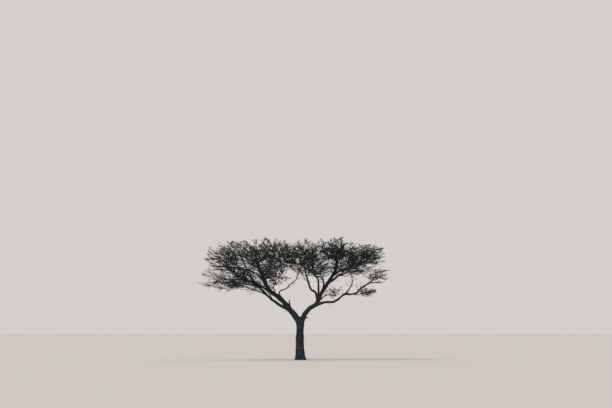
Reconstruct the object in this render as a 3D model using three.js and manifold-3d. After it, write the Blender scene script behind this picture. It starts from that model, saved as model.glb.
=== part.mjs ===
// A flat-topped acacia tree with a forked trunk, open boughs and a thin crown of feathery foliage.
// Millimetres, +Z up. The origin is on the trunk's axis in the flat cut at ground level.
// +X runs across the crown to the right, and -Y is the front of the tree.

import * as THREE from "three";
import { mergeVertices } from "three/addons/utils/BufferGeometryUtils.js";
import Module from "manifold-3d";

const METRE = 1000;

// Driving dimensions, in millimetres
const GAP = 0.3; // between a limb and what carries it
const TRUNK_HEIGHT = 2820; // ground to the crotch of the fork
const TRUNK_RADIUS = { ground: 335, waist: 266, top: 256 };
const TRUNK_LEAN = { across: 35, front: -60, bow: 45 }; // of its top, and of its middle towards -X
const FORK = { swell: 34, height: 300 }; // the trunk widens again below the crotch
const FLARE = { lobes: 5, depth: 0.34, height: 620 }; // the root flare stands out by depth at the ground
// A limb is thicker where it leaves its carrier, up to a share of the carrier's own radius
const COLLAR = { swell: 0.3, reach: 0.07, most: 0.88 };
const TRUNK_SIDES = 20;
const STEM_SIDES = 10;
const BOUGH_SIDES = 7;
const STEP_LENGTH = 420; // between the rings of a limb
const TRUNK_RINGS = [0, 0.035, 0.09, 0.18, 0.32, 0.55, 0.8, 1]; // as shares of its height

// The foliage, in millimetres. A mass has so many twigs for each metre of its mean radius, which
// leave its stem between two shares of the way and lean out from it by degrees. Sprays of leaves
// leave each twig at the given shares of its length.
const TWIG = { perMetre: 3.7, from: 0.4, to: 0.97, reach: 0.74, lean: [35, 85], least: 14, sides: 3 };
const SPRAY = { at: [0.5, 0.78, 0.99], lean: [25, 75], length: [480, 700], width: 0.46, thick: 0.18 };
const TRIES = 16; // directions that a twig or spray picks from
const SHARE_MARGIN = 0.05; // how much nearer its own mass a twig stays than any other
const LIMB_CLEARANCE = 50; // and from the side of any other limb

// Each limb in metres: what carries it and at what share of that one's length, the radius at its
// base and tip, and the bends that its line passes through, the last one being its tip. The mass
// of foliage that grows on from the tip keeps to a flattened round space, with a middle and the
// half sizes of that space across, front to back, and up.
const LIMBS = {
  stem_left: {
    from: "trunk", at: 0.92, radius: [0.235, 0.1],
    bends: [
      [-0.6, 0, 3.33], [-1.33, 0.04, 4.12], [-2.16, 0.1, 4.8], [-2.53, 0.16, 5.6], [-2.86, 0.2, 6.4],
    ],
    mass: { at: [-3.0, 0.1, 7.15], size: [1.75, 1.6, 1.05] },
  },
  stem_right: {
    from: "trunk", at: 0.92, radius: [0.175, 0.105],
    bends: [
      [0.4, 0, 3.24], [1.14, -0.03, 3.94], [1.42, -0.05, 4.5],
      [1.93, -0.08, 5.3], [2.4, -0.1, 6.15], [2.5, -0.1, 6.7],
    ],
    mass: { at: [2.4, -0.2, 7.25], size: [1.65, 1.7, 1.15] },
  },
  left_middle: {
    from: "stem_left", at: 0.21, radius: [0.12, 0.05],
    bends: [
      [-1.5, -0.27, 3.8], [-1.95, -0.38, 4.12], [-2.4, -0.48, 4.6], [-3.15, -0.6, 5.18], [-4.1, -0.75, 5.65],
    ],
    mass: { at: [-5.05, -0.9, 6.75], size: [1.5, 1.45, 1.0] },
  },
  left_front_low: {
    from: "left_middle", at: 0.36, radius: [0.06, 0.032],
    bends: [[-2.5, -0.8, 4.55], [-3.1, -1.45, 4.72], [-3.8, -2.1, 5.0]],
    mass: { at: [-4.3, -2.6, 5.2], size: [1.55, 1.35, 0.8] },
  },
  left_outer: {
    from: "left_middle", at: 0.68, radius: [0.06, 0.035],
    bends: [[-4.05, -0.35, 5.2], [-5.1, -0.05, 5.28]],
    mass: { at: [-5.75, 0.05, 5.55], size: [1.35, 1.3, 0.85] },
  },
  left_back_low: {
    from: "stem_left", at: 0.52, radius: [0.085, 0.04],
    bends: [[-2.75, 0.9, 5.05], [-3.5, 1.85, 5.35]],
    mass: { at: [-4.15, 2.6, 5.65], size: [1.6, 1.45, 0.9] },
  },
  left_upper: {
    from: "stem_left", at: 0.74, radius: [0.075, 0.04],
    bends: [[-3.1, 0.6, 5.95], [-3.9, 1.05, 6.2]],
    mass: { at: [-4.9, 1.25, 7.1], size: [1.6, 1.45, 1.0] },
  },
  left_front_upper: {
    from: "left_middle", at: 0.6, radius: [0.07, 0.038],
    bends: [[-3.25, -1.15, 5.5], [-3.6, -1.85, 6.2]],
    mass: { at: [-4.05, -2.4, 7.15], size: [1.5, 1.4, 1.0] },
  },
  left_front: {
    from: "stem_left", at: 0.68, radius: [0.085, 0.04],
    bends: [[-2.35, -0.8, 5.45], [-2.15, -1.75, 5.6], [-2.05, -2.5, 5.75]],
    mass: { at: [-2.1, -3.6, 6.7], size: [1.75, 1.55, 1.1] },
  },
  left_back: {
    from: "stem_left", at: 0.7, radius: [0.085, 0.04],
    bends: [[-2.6, 1.1, 5.55], [-2.6, 2.35, 5.75]],
    mass: { at: [-2.6, 3.5, 6.7], size: [1.85, 1.6, 1.1] },
  },
  left_core: {
    from: "left_middle", at: 0.42, radius: [0.055, 0.03],
    bends: [[-2.95, -0.3, 5.1], [-3.2, -0.3, 5.3]],
    mass: { at: [-3.45, -0.5, 5.85], size: [1.0, 0.9, 0.7] },
  },
  left_low_inner: {
    from: "left_middle", at: 0.33, radius: [0.045, 0.025],
    bends: [[-2.2, -0.75, 4.62], [-2.35, -0.85, 4.82]],
    mass: { at: [-2.55, -1.1, 5.05], size: [0.85, 0.6, 0.42] },
  },
  left_inner: {
    from: "stem_left", at: 0.5, radius: [0.055, 0.03],
    bends: [[-1.85, -0.2, 4.95], [-1.7, -0.4, 5.15]],
    mass: { at: [-1.7, -0.6, 5.65], size: [1.05, 1.0, 0.75] },
  },
  left_inner_back: {
    from: "stem_left", at: 0.82, radius: [0.065, 0.038],
    bends: [[-2.2, 0.9, 6.1], [-1.6, 1.4, 6.3]],
    mass: { at: [-0.85, 1.9, 7.1], size: [1.55, 1.45, 1.0] },
  },
  left_inner_front: {
    from: "stem_left", at: 0.86, radius: [0.065, 0.038],
    bends: [[-2.3, -0.55, 6.25], [-2.0, -1.0, 6.55]],
    mass: { at: [-1.75, -1.4, 7.4], size: [1.35, 1.3, 0.95] },
  },
  centre_riser: {
    from: "stem_left", at: 0.36, radius: [0.05, 0.028],
    bends: [
      [-1.42, 0.1, 4.53], [-1.33, 0.12, 4.7], [-0.88, 0.22, 4.9],
      [-0.66, 0.28, 5.14], [-0.3, 0.33, 5.42], [-0.08, 0.4, 5.95],
    ],
    mass: { at: [-0.15, 0.45, 6.5], size: [0.9, 0.9, 0.6] },
  },
  centre: {
    from: "stem_right", at: 0.4, radius: [0.095, 0.05],
    bends: [
      [1.0, -0.1, 4.6], [0.73, -0.15, 4.8], [0.61, -0.2, 5.1], [0.46, -0.24, 5.5], [0.35, -0.3, 6.0],
    ],
    mass: { at: [0.15, -0.45, 7.2], size: [1.5, 1.5, 1.15] },
  },
  centre_front: {
    from: "stem_right", at: 0.43, radius: [0.078, 0.045],
    bends: [[1.24, -0.4, 5.0], [1.2, -0.95, 5.45], [0.98, -1.6, 5.72], [0.95, -2.3, 5.85]],
    mass: { at: [0.9, -3.35, 6.8], size: [1.7, 1.65, 1.05] },
  },
  centre_back: {
    from: "stem_right", at: 0.56, radius: [0.065, 0.038],
    bends: [[1.55, 0.75, 5.55], [1.2, 1.6, 5.7], [0.95, 2.3, 5.85]],
    mass: { at: [0.8, 3.35, 6.8], size: [1.75, 1.65, 1.05] },
  },
  right_inner: {
    from: "stem_right", at: 0.5, radius: [0.05, 0.028],
    bends: [[1.6, -0.4, 5.3], [1.45, -0.65, 5.6]],
    mass: { at: [1.35, -0.75, 6.15], size: [0.95, 0.9, 0.65] },
  },
  right_upper: {
    from: "stem_right", at: 0.78, radius: [0.07, 0.04],
    bends: [[2.9, 0.0, 6.12], [3.5, 0.1, 6.2], [3.95, 0.15, 6.4]],
    mass: { at: [4.6, 0.2, 7.05], size: [1.2, 1.5, 0.85] },
  },
  right_front: {
    from: "stem_right", at: 0.64, radius: [0.065, 0.038],
    bends: [[2.55, -0.85, 5.65], [2.95, -1.5, 5.8], [3.2, -2.0, 5.95]],
    mass: { at: [3.5, -2.7, 6.85], size: [1.7, 1.6, 1.0] },
  },
  right_back: {
    from: "stem_right", at: 0.66, radius: [0.07, 0.04],
    bends: [[2.5, 0.95, 5.7], [2.85, 1.8, 5.9]],
    mass: { at: [3.3, 2.7, 6.95], size: [1.75, 1.6, 1.05] },
  },
  right_low: {
    from: "stem_right", at: 0.24, radius: [0.098, 0.055],
    bends: [
      [1.75, -0.12, 3.95], [2.26, -0.2, 3.97], [3.1, -0.35, 4.48],
      [3.75, -0.42, 4.5], [4.2, -0.48, 4.92], [4.65, -0.52, 5.2],
    ],
    mass: { at: [5.1, -0.55, 5.75], size: [1.1, 1.3, 0.6] },
  },
  right_low_riser: {
    from: "right_low", at: 0.56, radius: [0.052, 0.03],
    bends: [[3.35, -0.2, 4.88], [3.55, -0.05, 5.28], [3.5, 0.1, 5.7]],
    mass: { at: [3.85, 0.3, 6.05], size: [1.0, 1.0, 0.45] },
  },
  right_low_side: {
    from: "right_low", at: 0.7, radius: [0.04, 0.024],
    bends: [[3.85, -0.2, 4.43], [4.02, -0.05, 4.46]],
    mass: { at: [4.45, 0.15, 4.62], size: [0.75, 0.75, 0.4] },
  },
  right_spur: {
    from: "stem_right", at: 0.32, radius: [0.052, 0.03],
    bends: [[1.72, 0.12, 4.38], [2.02, 0.2, 4.42], [2.35, 0.25, 4.34]],
    mass: { at: [2.3, 0.3, 4.7], size: [0.6, 0.6, 0.4] },
  },
};
// Broken stubs left on the stems, in metres: the share of the stem's length where each starts,
// where it points, its length and its radius
const STUBS = {
  stem_left: { at: 0.23, towards: [-0.12, -0.1, 1], length: 0.74, radius: 0.075 },
  stem_right: { at: 0.09, towards: [1, -0.1, -0.15], length: 0.36, radius: 0.08 },
};

const COLOUR = { bark: 0x2b2826, leaf: 0x2b322b };

const wasm = await Module();
wasm.setup();

// The same run of numbers from 0 to 1 for the same seed
function dice(seed) {
  let state = (seed * 2654435761) % 4294967296;
  const roll = () => {
    state = (state * 1664525 + 1013904223) % 4294967296;
    return state / 4294967296;
  };
  roll();
  roll();
  return roll;
}

const metres = (point) => new THREE.Vector3(...point).multiplyScalar(METRE);

const between = ([low, high], share) => low + (high - low) * share;

// The frame of each ring of a tube, carried along from the first without a twist
function framesAlong(rings, first) {
  let along = first || rings[1].clone().sub(rings[0]).normalize();
  const across = new THREE.Vector3(0, 1, 0).cross(along);
  if (across.lengthSq() < 1e-6) across.set(1, 0, 0);
  across.normalize();
  return rings.map((centre, i) => {
    const before = rings[Math.max(i - 1, 0)];
    const after = rings[Math.min(i + 1, rings.length - 1)];
    const ahead = i === 0 ? along : after.clone().sub(before).normalize();
    across.applyQuaternion(new THREE.Quaternion().setFromUnitVectors(along, ahead));
    along = ahead;
    return { centre, ahead, across: across.clone(), other: ahead.clone().cross(across) };
  });
}

// A closed tube with flat ends through the middles of its rings, from a bent cylinder, or the same
// grown by some extra on every side
function tube(limb, extra = 0) {
  const steps = limb.rings.length - 1;
  const bent = new THREE.CylinderGeometry(1, 1, 1, limb.sides, steps);
  bent.deleteAttribute("normal");
  bent.deleteAttribute("uv");
  const frames = framesAlong(limb.rings, limb.first);
  const spots = bent.getAttribute("position");
  const spot = new THREE.Vector3();
  for (let i = 0; i < spots.count; i++) {
    spot.fromBufferAttribute(spots, i);
    const ring = Math.round((0.5 + spot.y) * steps);
    const angle = Math.atan2(-spot.z, spot.x);
    const onWall = Math.hypot(spot.x, spot.z) > 0.5; // and not the middle of an end
    const radius = onWall ? limb.radiusAt(ring / steps, angle) + extra : 0;
    const { centre, ahead, across, other } = frames[ring];
    const beyond = ring === 0 ? -extra : ring === steps ? extra : 0;
    spot.copy(centre).addScaledVector(ahead, beyond);
    spot.addScaledVector(across, radius * Math.cos(angle));
    spot.addScaledVector(other, radius * Math.sin(angle));
    spots.setXYZ(i, spot.x, spot.y, spot.z);
  }
  return solid(bent);
}

// The point at a share of the way along a limb's rings, and the direction there
function pointAt(limb, share) {
  const place = share * (limb.rings.length - 1);
  const ring = Math.min(Math.floor(place), limb.rings.length - 2);
  return limb.rings[ring].clone().lerp(limb.rings[ring + 1], place - ring);
}

function aheadAt(limb, share) {
  const ring = Math.min(Math.floor(share * (limb.rings.length - 1)), limb.rings.length - 2);
  return limb.rings[ring + 1].clone().sub(limb.rings[ring]).normalize();
}

// A leafy spray as a flat eight-sided blade from its root
function blade(root, along, across, length, width, thick) {
  const flat = new THREE.OctahedronGeometry(1);
  flat.deleteAttribute("normal");
  flat.deleteAttribute("uv");
  flat.scale(length / 2, width / 2, thick / 2);
  flat.translate(length / 2, 0, 0);
  const up = new THREE.Vector3().crossVectors(along, across);
  const turn = new THREE.Matrix4().makeBasis(along, across, up);
  return solid(flat.applyMatrix4(turn.setPosition(root)));
}

function solid(geometry) {
  const merged = mergeVertices(geometry, 1e-3);
  return new wasm.Manifold(
    new wasm.Mesh({
      numProp: 3,
      vertProperties: new Float32Array(merged.getAttribute("position").array),
      triVerts: new Uint32Array(merged.index.array),
    }),
  );
}

// A solid without the scraps that are loose from it
const mainBody = (made) => made.decompose().sort((a, b) => b.volume() - a.volume())[0];

// A named mesh of a solid, with its own frame at the root point
function meshOf(name, made, root, colour) {
  const cut = made.getMesh();
  const geometry = new THREE.BufferGeometry();
  geometry.setAttribute("position", new THREE.BufferAttribute(cut.vertProperties, 3));
  geometry.setIndex(new THREE.BufferAttribute(cut.triVerts, 1));
  geometry.translate(-root.x, -root.y, -root.z);
  const material = new THREE.MeshStandardMaterial({
    color: colour,
    roughness: 0.9,
    metalness: 0,
    flatShading: true,
  });
  const mesh = new THREE.Mesh(geometry, material);
  mesh.name = name;
  mesh.position.copy(root);
  return mesh;
}

// The trunk, widening to the root flare at the flat cut
function trunkLimb() {
  const rings = TRUNK_RINGS.map((share) => {
    const across = TRUNK_LEAN.across * share - TRUNK_LEAN.bow * Math.sin(Math.PI * share);
    return new THREE.Vector3(across, TRUNK_LEAN.front * share, TRUNK_HEIGHT * share);
  });
  const radiusAt = (place, angle) => {
    const share = TRUNK_RINGS[Math.round(place * (TRUNK_RINGS.length - 1))];
    const fade = Math.exp((-share * TRUNK_HEIGHT) / FLARE.height);
    const taper = THREE.MathUtils.lerp(TRUNK_RADIUS.waist, TRUNK_RADIUS.top, share);
    const flare = (TRUNK_RADIUS.ground - TRUNK_RADIUS.waist) * fade;
    const swell = flare + FORK.swell * Math.exp(((share - 1) * TRUNK_HEIGHT) / FORK.height);
    const lobes = Math.cos(FLARE.lobes * angle + Math.sin(2 * angle));
    return (taper + swell) * (1 + FLARE.depth * fade * fade * lobes);
  };
  return { rings, radiusAt, first: new THREE.Vector3(0, 0, 1), sides: TRUNK_SIDES };
}

function boughLimb(row, carrier) {
  const start = pointAt(carrier, row.at);
  const path = new THREE.CatmullRomCurve3([start, ...row.bends.map(metres)], false, "centripetal");
  const steps = Math.max(3, Math.round(path.getLength() / STEP_LENGTH));
  const [base, tip] = row.radius.map((r) => r * METRE);
  const widest = COLLAR.most * carrier.radiusAt(row.at, 0);
  const radiusAt = (share) => {
    const collar = 1 + COLLAR.swell * Math.exp(-share / COLLAR.reach);
    return Math.min(widest, THREE.MathUtils.lerp(base, tip, Math.pow(share, 0.8)) * collar);
  };
  const sides = base > 0.15 * METRE ? STEM_SIDES : BOUGH_SIDES;
  return { rings: path.getSpacedPoints(steps), radiusAt, sides };
}

// The broken stub on a limb, if it has one
function stubsOf(name, limb) {
  const stub = STUBS[name];
  if (!stub) return [];
  const start = pointAt(limb, stub.at);
  const end = start.clone().add(new THREE.Vector3(...stub.towards).setLength(stub.length * METRE));
  const radiusAt = (share) => stub.radius * METRE * (1 - 0.6 * share);
  return [{ rings: [start, end], radiusAt, sides: 5 }];
}

// The first part of each mass: a stem that carries on from its limb's tip into the space
function massStem(row, limb) {
  const first = aheadAt(limb, 1);
  const root = pointAt(limb, 1).addScaledVector(first, GAP);
  const middle = metres(row.mass.at);
  const size = metres(row.mass.size);
  const end = middle.clone();
  end.z -= 0.1 * size.z;
  const knee = root.clone().addScaledVector(first, 0.4 * root.distanceTo(end));
  const rings = new THREE.QuadraticBezierCurve3(root, knee, end).getSpacedPoints(3);
  const radius = limb.radiusAt(1);
  const radiusAt = (share) => radius * (1 - 0.5 * share);
  return { rings, radiusAt, first, sides: 5, middle, size };
}

// How far out a point is in a mass's space: 0 in the middle and 1 at the edge
function outness(mass, point) {
  return point.clone().sub(mass.middle).divide(mass.size).length();
}

// Whether the point is in the mass's own space, away from the others
function inSpace(mass, masses, point) {
  const own = outness(mass, point);
  if (own > 1) return false;
  return masses.every((other) => other === mass || outness(other, point) > own + SHARE_MARGIN);
}

function clearOfLimbs(limbs, point) {
  return limbs.every((limb) =>
    limb.rings.slice(1).every((end, i) => {
      const near = new THREE.Line3(limb.rings[i], end).closestPointToPoint(point, true, new THREE.Vector3());
      const thick = limb.radiusAt(i / (limb.rings.length - 1), 0);
      return near.distanceTo(point) > thick + LIMB_CLEARANCE;
    }),
  );
}

// A direction at a lean from the parent's, turned round it, and flattened a little
function leaning(along, lean, turn) {
  const side = new THREE.Vector3(0, 0, 1).cross(along);
  if (side.lengthSq() < 1e-6) side.set(1, 0, 0);
  side.normalize().applyAxisAngle(along, turn);
  const way = along.clone().multiplyScalar(Math.cos(lean)).addScaledVector(side, Math.sin(lean));
  way.z = 0.75 * way.z + 0.15;
  return way.normalize();
}

// The best of several directions from a point on a limb: the one that keeps to the space and is
// furthest from the spots already taken
function bestWay(parent, share, lean, reach, roll, fits, taken) {
  const start = pointAt(parent, share);
  const along = aheadAt(parent, share);
  let best = null;
  let bestRoom = 0;
  for (let k = 0; k < TRIES; k++) {
    const tilt = THREE.MathUtils.degToRad(between(lean, roll()));
    const way = leaning(along, tilt, 2 * Math.PI * roll());
    const length = between(reach, roll());
    const end = start.clone().addScaledVector(way, length);
    const half = start.clone().addScaledVector(way, 0.5 * length);
    if (!fits(end) || !fits(half)) continue;
    const gaps = taken.map((spot) => Math.min(spot.distanceTo(end), spot.distanceTo(half)));
    const room = Math.min(length, ...gaps);
    if (room <= bestRoom) continue;
    bestRoom = room;
    best = { start, way, length, half, end };
  }
  if (best) taken.push(best.half, best.end);
  return best;
}

// The twigs of a mass
function growTwigs(mass, fits, seed, taken) {
  const mean = (mass.size.x + mass.size.y + mass.size.z) / 3;
  const count = Math.max(2, Math.round((TWIG.perMetre * mean) / METRE));
  const twigs = [];
  for (let k = 0; k < count; k++) {
    const share = between([TWIG.from, TWIG.to], k / (count - 1));
    const reach = [0.8 * TWIG.reach * mean, 1.2 * TWIG.reach * mean];
    const found = bestWay(mass, share, TWIG.lean, reach, dice(seed * 32 + k), fits, taken);
    if (!found) continue;
    const foot = Math.max(TWIG.least, 0.6 * mass.radiusAt(share));
    const radiusAt = (place) => foot * (1 - 0.5 * place);
    twigs.push({ rings: [found.start, found.end], radiusAt, sides: TWIG.sides, seed: seed * 32 + k });
  }
  return twigs;
}

// The sprays along a twig, each with its root inside it
function growSprays(twig, fits, taken) {
  return SPRAY.at.flatMap((share, k) => {
    const roll = dice(twig.seed * 8 + k);
    const found = bestWay(twig, share, SPRAY.lean, SPRAY.length, roll, fits, taken);
    if (!found) return [];
    const across = found.way.clone().cross(new THREE.Vector3(0, 0, 1)).normalize();
    across.applyAxisAngle(found.way, between([-1, 1], roll()));
    const root = found.start.addScaledVector(found.way, -0.3 * twig.radiusAt(share));
    const width = SPRAY.width * found.length;
    return [blade(root, found.way, across, found.length, width, SPRAY.thick * found.length)];
  });
}

function massSolid(mass, fits, seed) {
  const taken = [];
  const twigs = growTwigs(mass, fits, seed, taken);
  const carriers = [{ ...mass, seed: seed * 32 + 31 }, ...twigs];
  const sprays = carriers.flatMap((carrier) => growSprays(carrier, fits, taken));
  const made = wasm.Manifold.union([mass, ...twigs].map((limb) => tube(limb)).concat(sprays));
  return mainBody(made);
}

function build() {
  const tree = new THREE.Group();
  const limbs = { trunk: trunkLimb() };
  tree.add(meshOf("trunk", tube(limbs.trunk), limbs.trunk.rings[0], COLOUR.bark));
  for (const [name, row] of Object.entries(LIMBS)) {
    const limb = boughLimb(row, limbs[row.from]);
    const whole = wasm.Manifold.union([limb, ...stubsOf(name, limb)].map((one) => tube(one)));
    const near = Object.keys(limbs).filter((other) => other === row.from || LIMBS[other]?.from === row.from);
    const cuts = near.map((other) => tube(limbs[other], GAP));
    const made = mainBody(whole.subtract(wasm.Manifold.union(cuts)));
    const title = name.startsWith("stem") ? name : "bough_" + name;
    tree.add(meshOf(title, made, limb.rings[0], COLOUR.bark));
    limbs[name] = limb;
  }
  const masses = Object.entries(LIMBS).map(([name, row]) => massStem(row, limbs[name]));
  Object.keys(LIMBS).forEach((name, i) => {
    const others = [...Object.values(limbs), ...masses.filter((mass) => mass !== masses[i])];
    const fits = (point) => inSpace(masses[i], masses, point) && clearOfLimbs(others, point);
    const title = "foliage_" + name.replace("stem_", "top_");
    tree.add(meshOf(title, massSolid(masses[i], fits, i + 1), masses[i].rings[0], COLOUR.leaf));
  });
  return tree;
}

const tree = build();

export default tree;
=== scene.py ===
import math

import bmesh
import bpy
import numpy as np
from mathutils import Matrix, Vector, kdtree


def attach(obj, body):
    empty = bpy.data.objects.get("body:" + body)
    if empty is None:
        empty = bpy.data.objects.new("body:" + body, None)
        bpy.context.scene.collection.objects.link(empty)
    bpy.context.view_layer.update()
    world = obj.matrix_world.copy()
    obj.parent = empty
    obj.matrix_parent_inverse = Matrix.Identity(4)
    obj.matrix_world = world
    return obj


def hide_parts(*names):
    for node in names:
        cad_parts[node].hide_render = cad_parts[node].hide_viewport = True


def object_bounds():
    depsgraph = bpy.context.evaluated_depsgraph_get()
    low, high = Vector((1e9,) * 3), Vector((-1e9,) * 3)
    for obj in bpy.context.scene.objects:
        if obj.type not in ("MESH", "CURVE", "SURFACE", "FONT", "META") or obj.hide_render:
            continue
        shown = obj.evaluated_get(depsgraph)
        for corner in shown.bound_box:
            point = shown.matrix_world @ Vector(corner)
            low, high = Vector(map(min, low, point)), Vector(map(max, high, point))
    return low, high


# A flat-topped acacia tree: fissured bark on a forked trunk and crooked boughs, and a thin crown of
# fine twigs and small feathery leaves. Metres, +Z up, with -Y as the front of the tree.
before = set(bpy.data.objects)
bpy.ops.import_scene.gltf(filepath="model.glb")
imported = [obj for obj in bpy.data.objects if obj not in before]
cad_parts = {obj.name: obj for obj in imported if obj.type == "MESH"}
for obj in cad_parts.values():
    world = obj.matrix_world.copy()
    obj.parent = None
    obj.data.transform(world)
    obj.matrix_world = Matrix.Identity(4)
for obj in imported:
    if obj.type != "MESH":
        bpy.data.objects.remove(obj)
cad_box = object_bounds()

UP = np.array([0.0, 0.0, 1.0])

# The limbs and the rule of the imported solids
GAP = 0.0003  # between the tip of a limb and the stem of its mass
TRUNK_HEIGHT = 2.82
TRUNK_RADIUS = {"ground": 0.335, "waist": 0.266, "top": 0.256}
TRUNK_LEAN = {"across": 0.035, "front": -0.06, "bow": 0.045}
FORK = {"swell": 0.034, "height": 0.3}
FLARE = {"lobes": 5, "depth": 0.34, "height": 0.62}
COLLAR = {"swell": 0.3, "reach": 0.07, "most": 0.88}
LIMB_TAPER = 0.8  # the power of a limb's length by which its radius goes over to that at the tip
LIMB_STEPS = {"length": 0.42, "least": 3}
TRUNK_RINGS = [0, 0.035, 0.09, 0.18, 0.32, 0.55, 0.8, 1]
MASS_STEM = {"below": 0.1, "knee": 0.4, "taper": 0.5, "steps": 3}
SEEDS = {"mass": 32, "twig": 8}  # how many runs of the dice are kept for each mass and for each twig
TWIGS = {
    "per_metre": 3.7, "along": (0.4, 0.97), "lean": (35, 85), "reach": (0.8 * 0.74, 1.2 * 0.74),
    "least": 0.014, "on_stem": 0.6, "sweep": 0.0,
}
STALKS = {
    "stem": (0.5, 0.78, 0.99), "twigs": (0.5, 0.78, 0.99), "lean": (25, 75), "length": (0.48, 0.7),
    "seed": 0, "sweep": 0.0,
}
STALK_RADIUS = 0.012
TRIES = 16
SHARE_MARGIN = 0.05
LIMB_CLEARANCE = 0.05
BOX_MARGIN = 0.02  # twigs may leave the box of the solids by this share of its sides

# By the same rule, the scene alone grows more twigs and stalks between those of the solids
MORE_TWIGS = {
    "share": 0.8, "along": (0.1, 1.0), "lean": (35, 85), "reach": (0.5, 0.95),
    "least": 0.018, "on_stem": 0.0, "seed": 7000, "roll": 1000, "sweep": 0.5,
}
MORE_STALKS = {
    "stem": (0.2, 0.45, 0.65, 0.8, 0.95), "twigs": (0.25, 0.4, 0.62, 0.72, 0.9), "lean": (25, 80),
    "length": (0.4, 0.75), "seed": 90000, "sweep": 0.5,
}

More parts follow.
